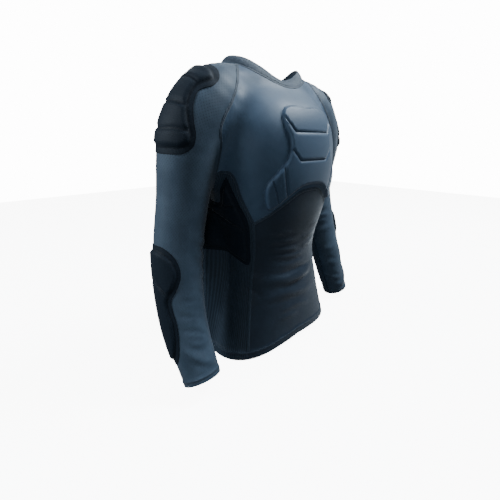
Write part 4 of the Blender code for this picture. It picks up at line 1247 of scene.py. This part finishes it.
CHEST_DARK, CHEST_LIGHT = (0.030, 0.060, 0.106), (0.070, 0.114, 0.178)
SLEEVE_DARK, SLEEVE_LIGHT = (0.028, 0.048, 0.076), (0.072, 0.108, 0.154)
BODY_DARK, BODY_LIGHT = (0.0060, 0.014, 0.027), (0.018, 0.033, 0.056)
MESH_DARK, MESH_LIGHT = (0.006, 0.014, 0.026), (0.034, 0.056, 0.086)
PAD_DARK, PAD_LIGHT = (0.0022, 0.0062, 0.0130), (0.0090, 0.0190, 0.0330)
THREAD_DARK, THREAD_LIGHT = (0.006, 0.015, 0.028), (0.050, 0.082, 0.125)
finishes = {
    "chest_cloth": knit("chest_knit", CHEST_DARK, CHEST_LIGHT, 0.56, 0.35),
    "body_cloth": knit("body_knit", BODY_DARK, BODY_LIGHT, 0.52, 0.30),
    "side_mesh": knit("side_ribs", MESH_DARK, MESH_LIGHT, 0.62, 0.2, ribs=0.0040, bumpy=0.0004),
    "sleeve_cloth": knit("sleeve_knit", SLEEVE_DARK, SLEEVE_LIGHT, 0.60, 0.3, dots=0.0052),
    "pad_cloth": pad_knit("pad_knit", PAD_DARK, PAD_LIGHT, DARK_STYLE[0][1]),
    "chest_pad_cloth": pad_knit("chest_pad_knit", CHEST_DARK, CHEST_LIGHT, CHEST_STYLE[0][1], 0.50, 0.35, 0.4),
    "collar_rib": knit("collar_ribs", (0.020, 0.032, 0.050), (0.075, 0.105, 0.145), 0.62, 0.3, ribs=0.0026,
                       bumpy=0.0004),
}
thread = seam_thread("seam_thread", THREAD_DARK, THREAD_LIGHT)
print("materials:", ", ".join(finishes))

# %% [markdown]
# ## Put the pieces in the frame
# Each piece rides on the shirt's one body, stands for its own solid and takes its finish from a slot of the record.
# The cuts are smaller than the worn cloth, because compression knit is stretched by about a tenth when worn.

# %% List every piece and dress it
# Columns: slot, width and length of the cut, its area, the seams on it, the pieces it is sewn to
PIECES = {
    "front_chest": ("chest_cloth", 0.38, 0.32, 0.097, ["arch"], ["collar", "front_belly"]),
    "front_belly": ("body_cloth", 0.33, 0.36, 0.094, ["hem"], ["front_chest"]),
    "back": ("body_cloth", 0.45, 0.66, 0.214, [], ["collar"]),
    "collar": ("collar_rib", 0.60, 0.024, 0.0135, ["neck"], ["back"]),
}
for word in SIDES.values():
    sewn = [f"{kind}_{word}" for kind in ("raglan", "sleeve", "cuff")]
    PIECES["side_" + word] = ("side_mesh", 0.19, 0.45, 0.066, ["side_" + word], ["back"])
    PIECES["sleeve_" + word] = ("sleeve_cloth", 0.40, 0.70, 0.175, sewn, ["front_chest"])


def dress(piece, node, material):
    piece.data.materials.clear()
    piece.data.materials.append(material)
    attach(piece, "root")
    if node:
        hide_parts(node)


for name, piece in cloths.items():
    slot_name = PIECES[name][0]
    dress(piece, name, finishes[slot_name])
for name, piece in pads.items():
    slot_name = "chest_pad_cloth" if name == "chest_pad" else "pad_cloth"
    dress(piece, name, finishes[slot_name])
for piece in seams.values():
    dress(piece, None, thread)
for name, piece in cloths.items():
    _, width, length, area, sewn, next_to = PIECES[name]
print("declared", len(PIECES), "cloth pieces and", len(pads), "pads")

# %% [markdown]
# ## Studio
# The photograph shows the shirt before plain white, with soft light from above and from the wearer's left. A large
# soft key gives that, a weak fill lights the near sleeve, and little light comes from elsewhere.

# %% Floor, lights and white surroundings
LIGHT_COLOUR = (0.80, 0.91, 1.0)
FLOOR_GLOW, SOFT_WORLD, WHITE_WORLD = 9.0, 0.08, 14.0
bpy.ops.mesh.primitive_plane_add(size=6, location=(0, 0, 0))
floor = bpy.context.object
floor.name = "floor"
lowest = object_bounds()[0][2]
for corner in floor.data.vertices:
    corner.co.z = lowest
floor_paint = Paint("floor_white", 0.8, specular=0.0)
seen = floor_paint.node("LightPath", output="Is Camera Ray")
floor_paint.feed(floor_paint.shader.inputs["Emission Color"], floor_paint.blend(seen, (0, 0, 0), (1, 1, 1)))
floor_paint.shader.inputs["Emission Strength"].default_value = FLOOR_GLOW
floor.data.materials.append(floor_paint.finish(floor_paint.blend(seen, (0.12, 0.12, 0.12), (0.9, 0.9, 0.9))))


def area_light(name, at, toward, size, watts):
    lamp = bpy.data.lights.new(name, "AREA")
    lamp.shape, lamp.size, lamp.energy = "DISK", size, watts
    lamp.color = LIGHT_COLOUR
    holder = bpy.data.objects.new(name, lamp)
    bpy.context.scene.collection.objects.link(holder)
    aim = np.array(toward, float) - at
    aim /= np.linalg.norm(aim)
    holder.location = at
    holder.rotation_euler = (math.acos(-aim[2]), 0, math.atan2(aim[1], aim[0]) - math.pi / 2)


area_light("key", (1.10, -0.70, 1.50), (0, 0, -0.25), 0.8, 86)
area_light("fill", (-1.65, 0.62, 0.60), (-0.2, 0, -0.3), 0.6, 30)
area_light("front", (-1.30, -1.25, 0.10), (-0.1, 0, -0.35), 0.8, 3.5)
world = bpy.data.worlds.new("studio")
bpy.context.scene.world = world
world.use_nodes = True
nodes, links = world.node_tree.nodes, world.node_tree.links
soft = nodes["Background"]
soft.inputs["Color"].default_value = (0.80, 0.90, 1.0, 1)
soft.inputs["Strength"].default_value = SOFT_WORLD
white = nodes.new("ShaderNodeBackground")
white.inputs["Color"].default_value = (1, 1, 1, 1)
white.inputs["Strength"].default_value = WHITE_WORLD
path, mix = nodes.new("ShaderNodeLightPath"), nodes.new("ShaderNodeMixShader")
links.new(path.outputs["Is Camera Ray"], mix.inputs[0])
links.new(soft.outputs[0], mix.inputs[1])
links.new(white.outputs[0], mix.inputs[2])
links.new(mix.outputs[0], nodes["World Output"].inputs["Surface"])
print("floor at", round(lowest, 3))
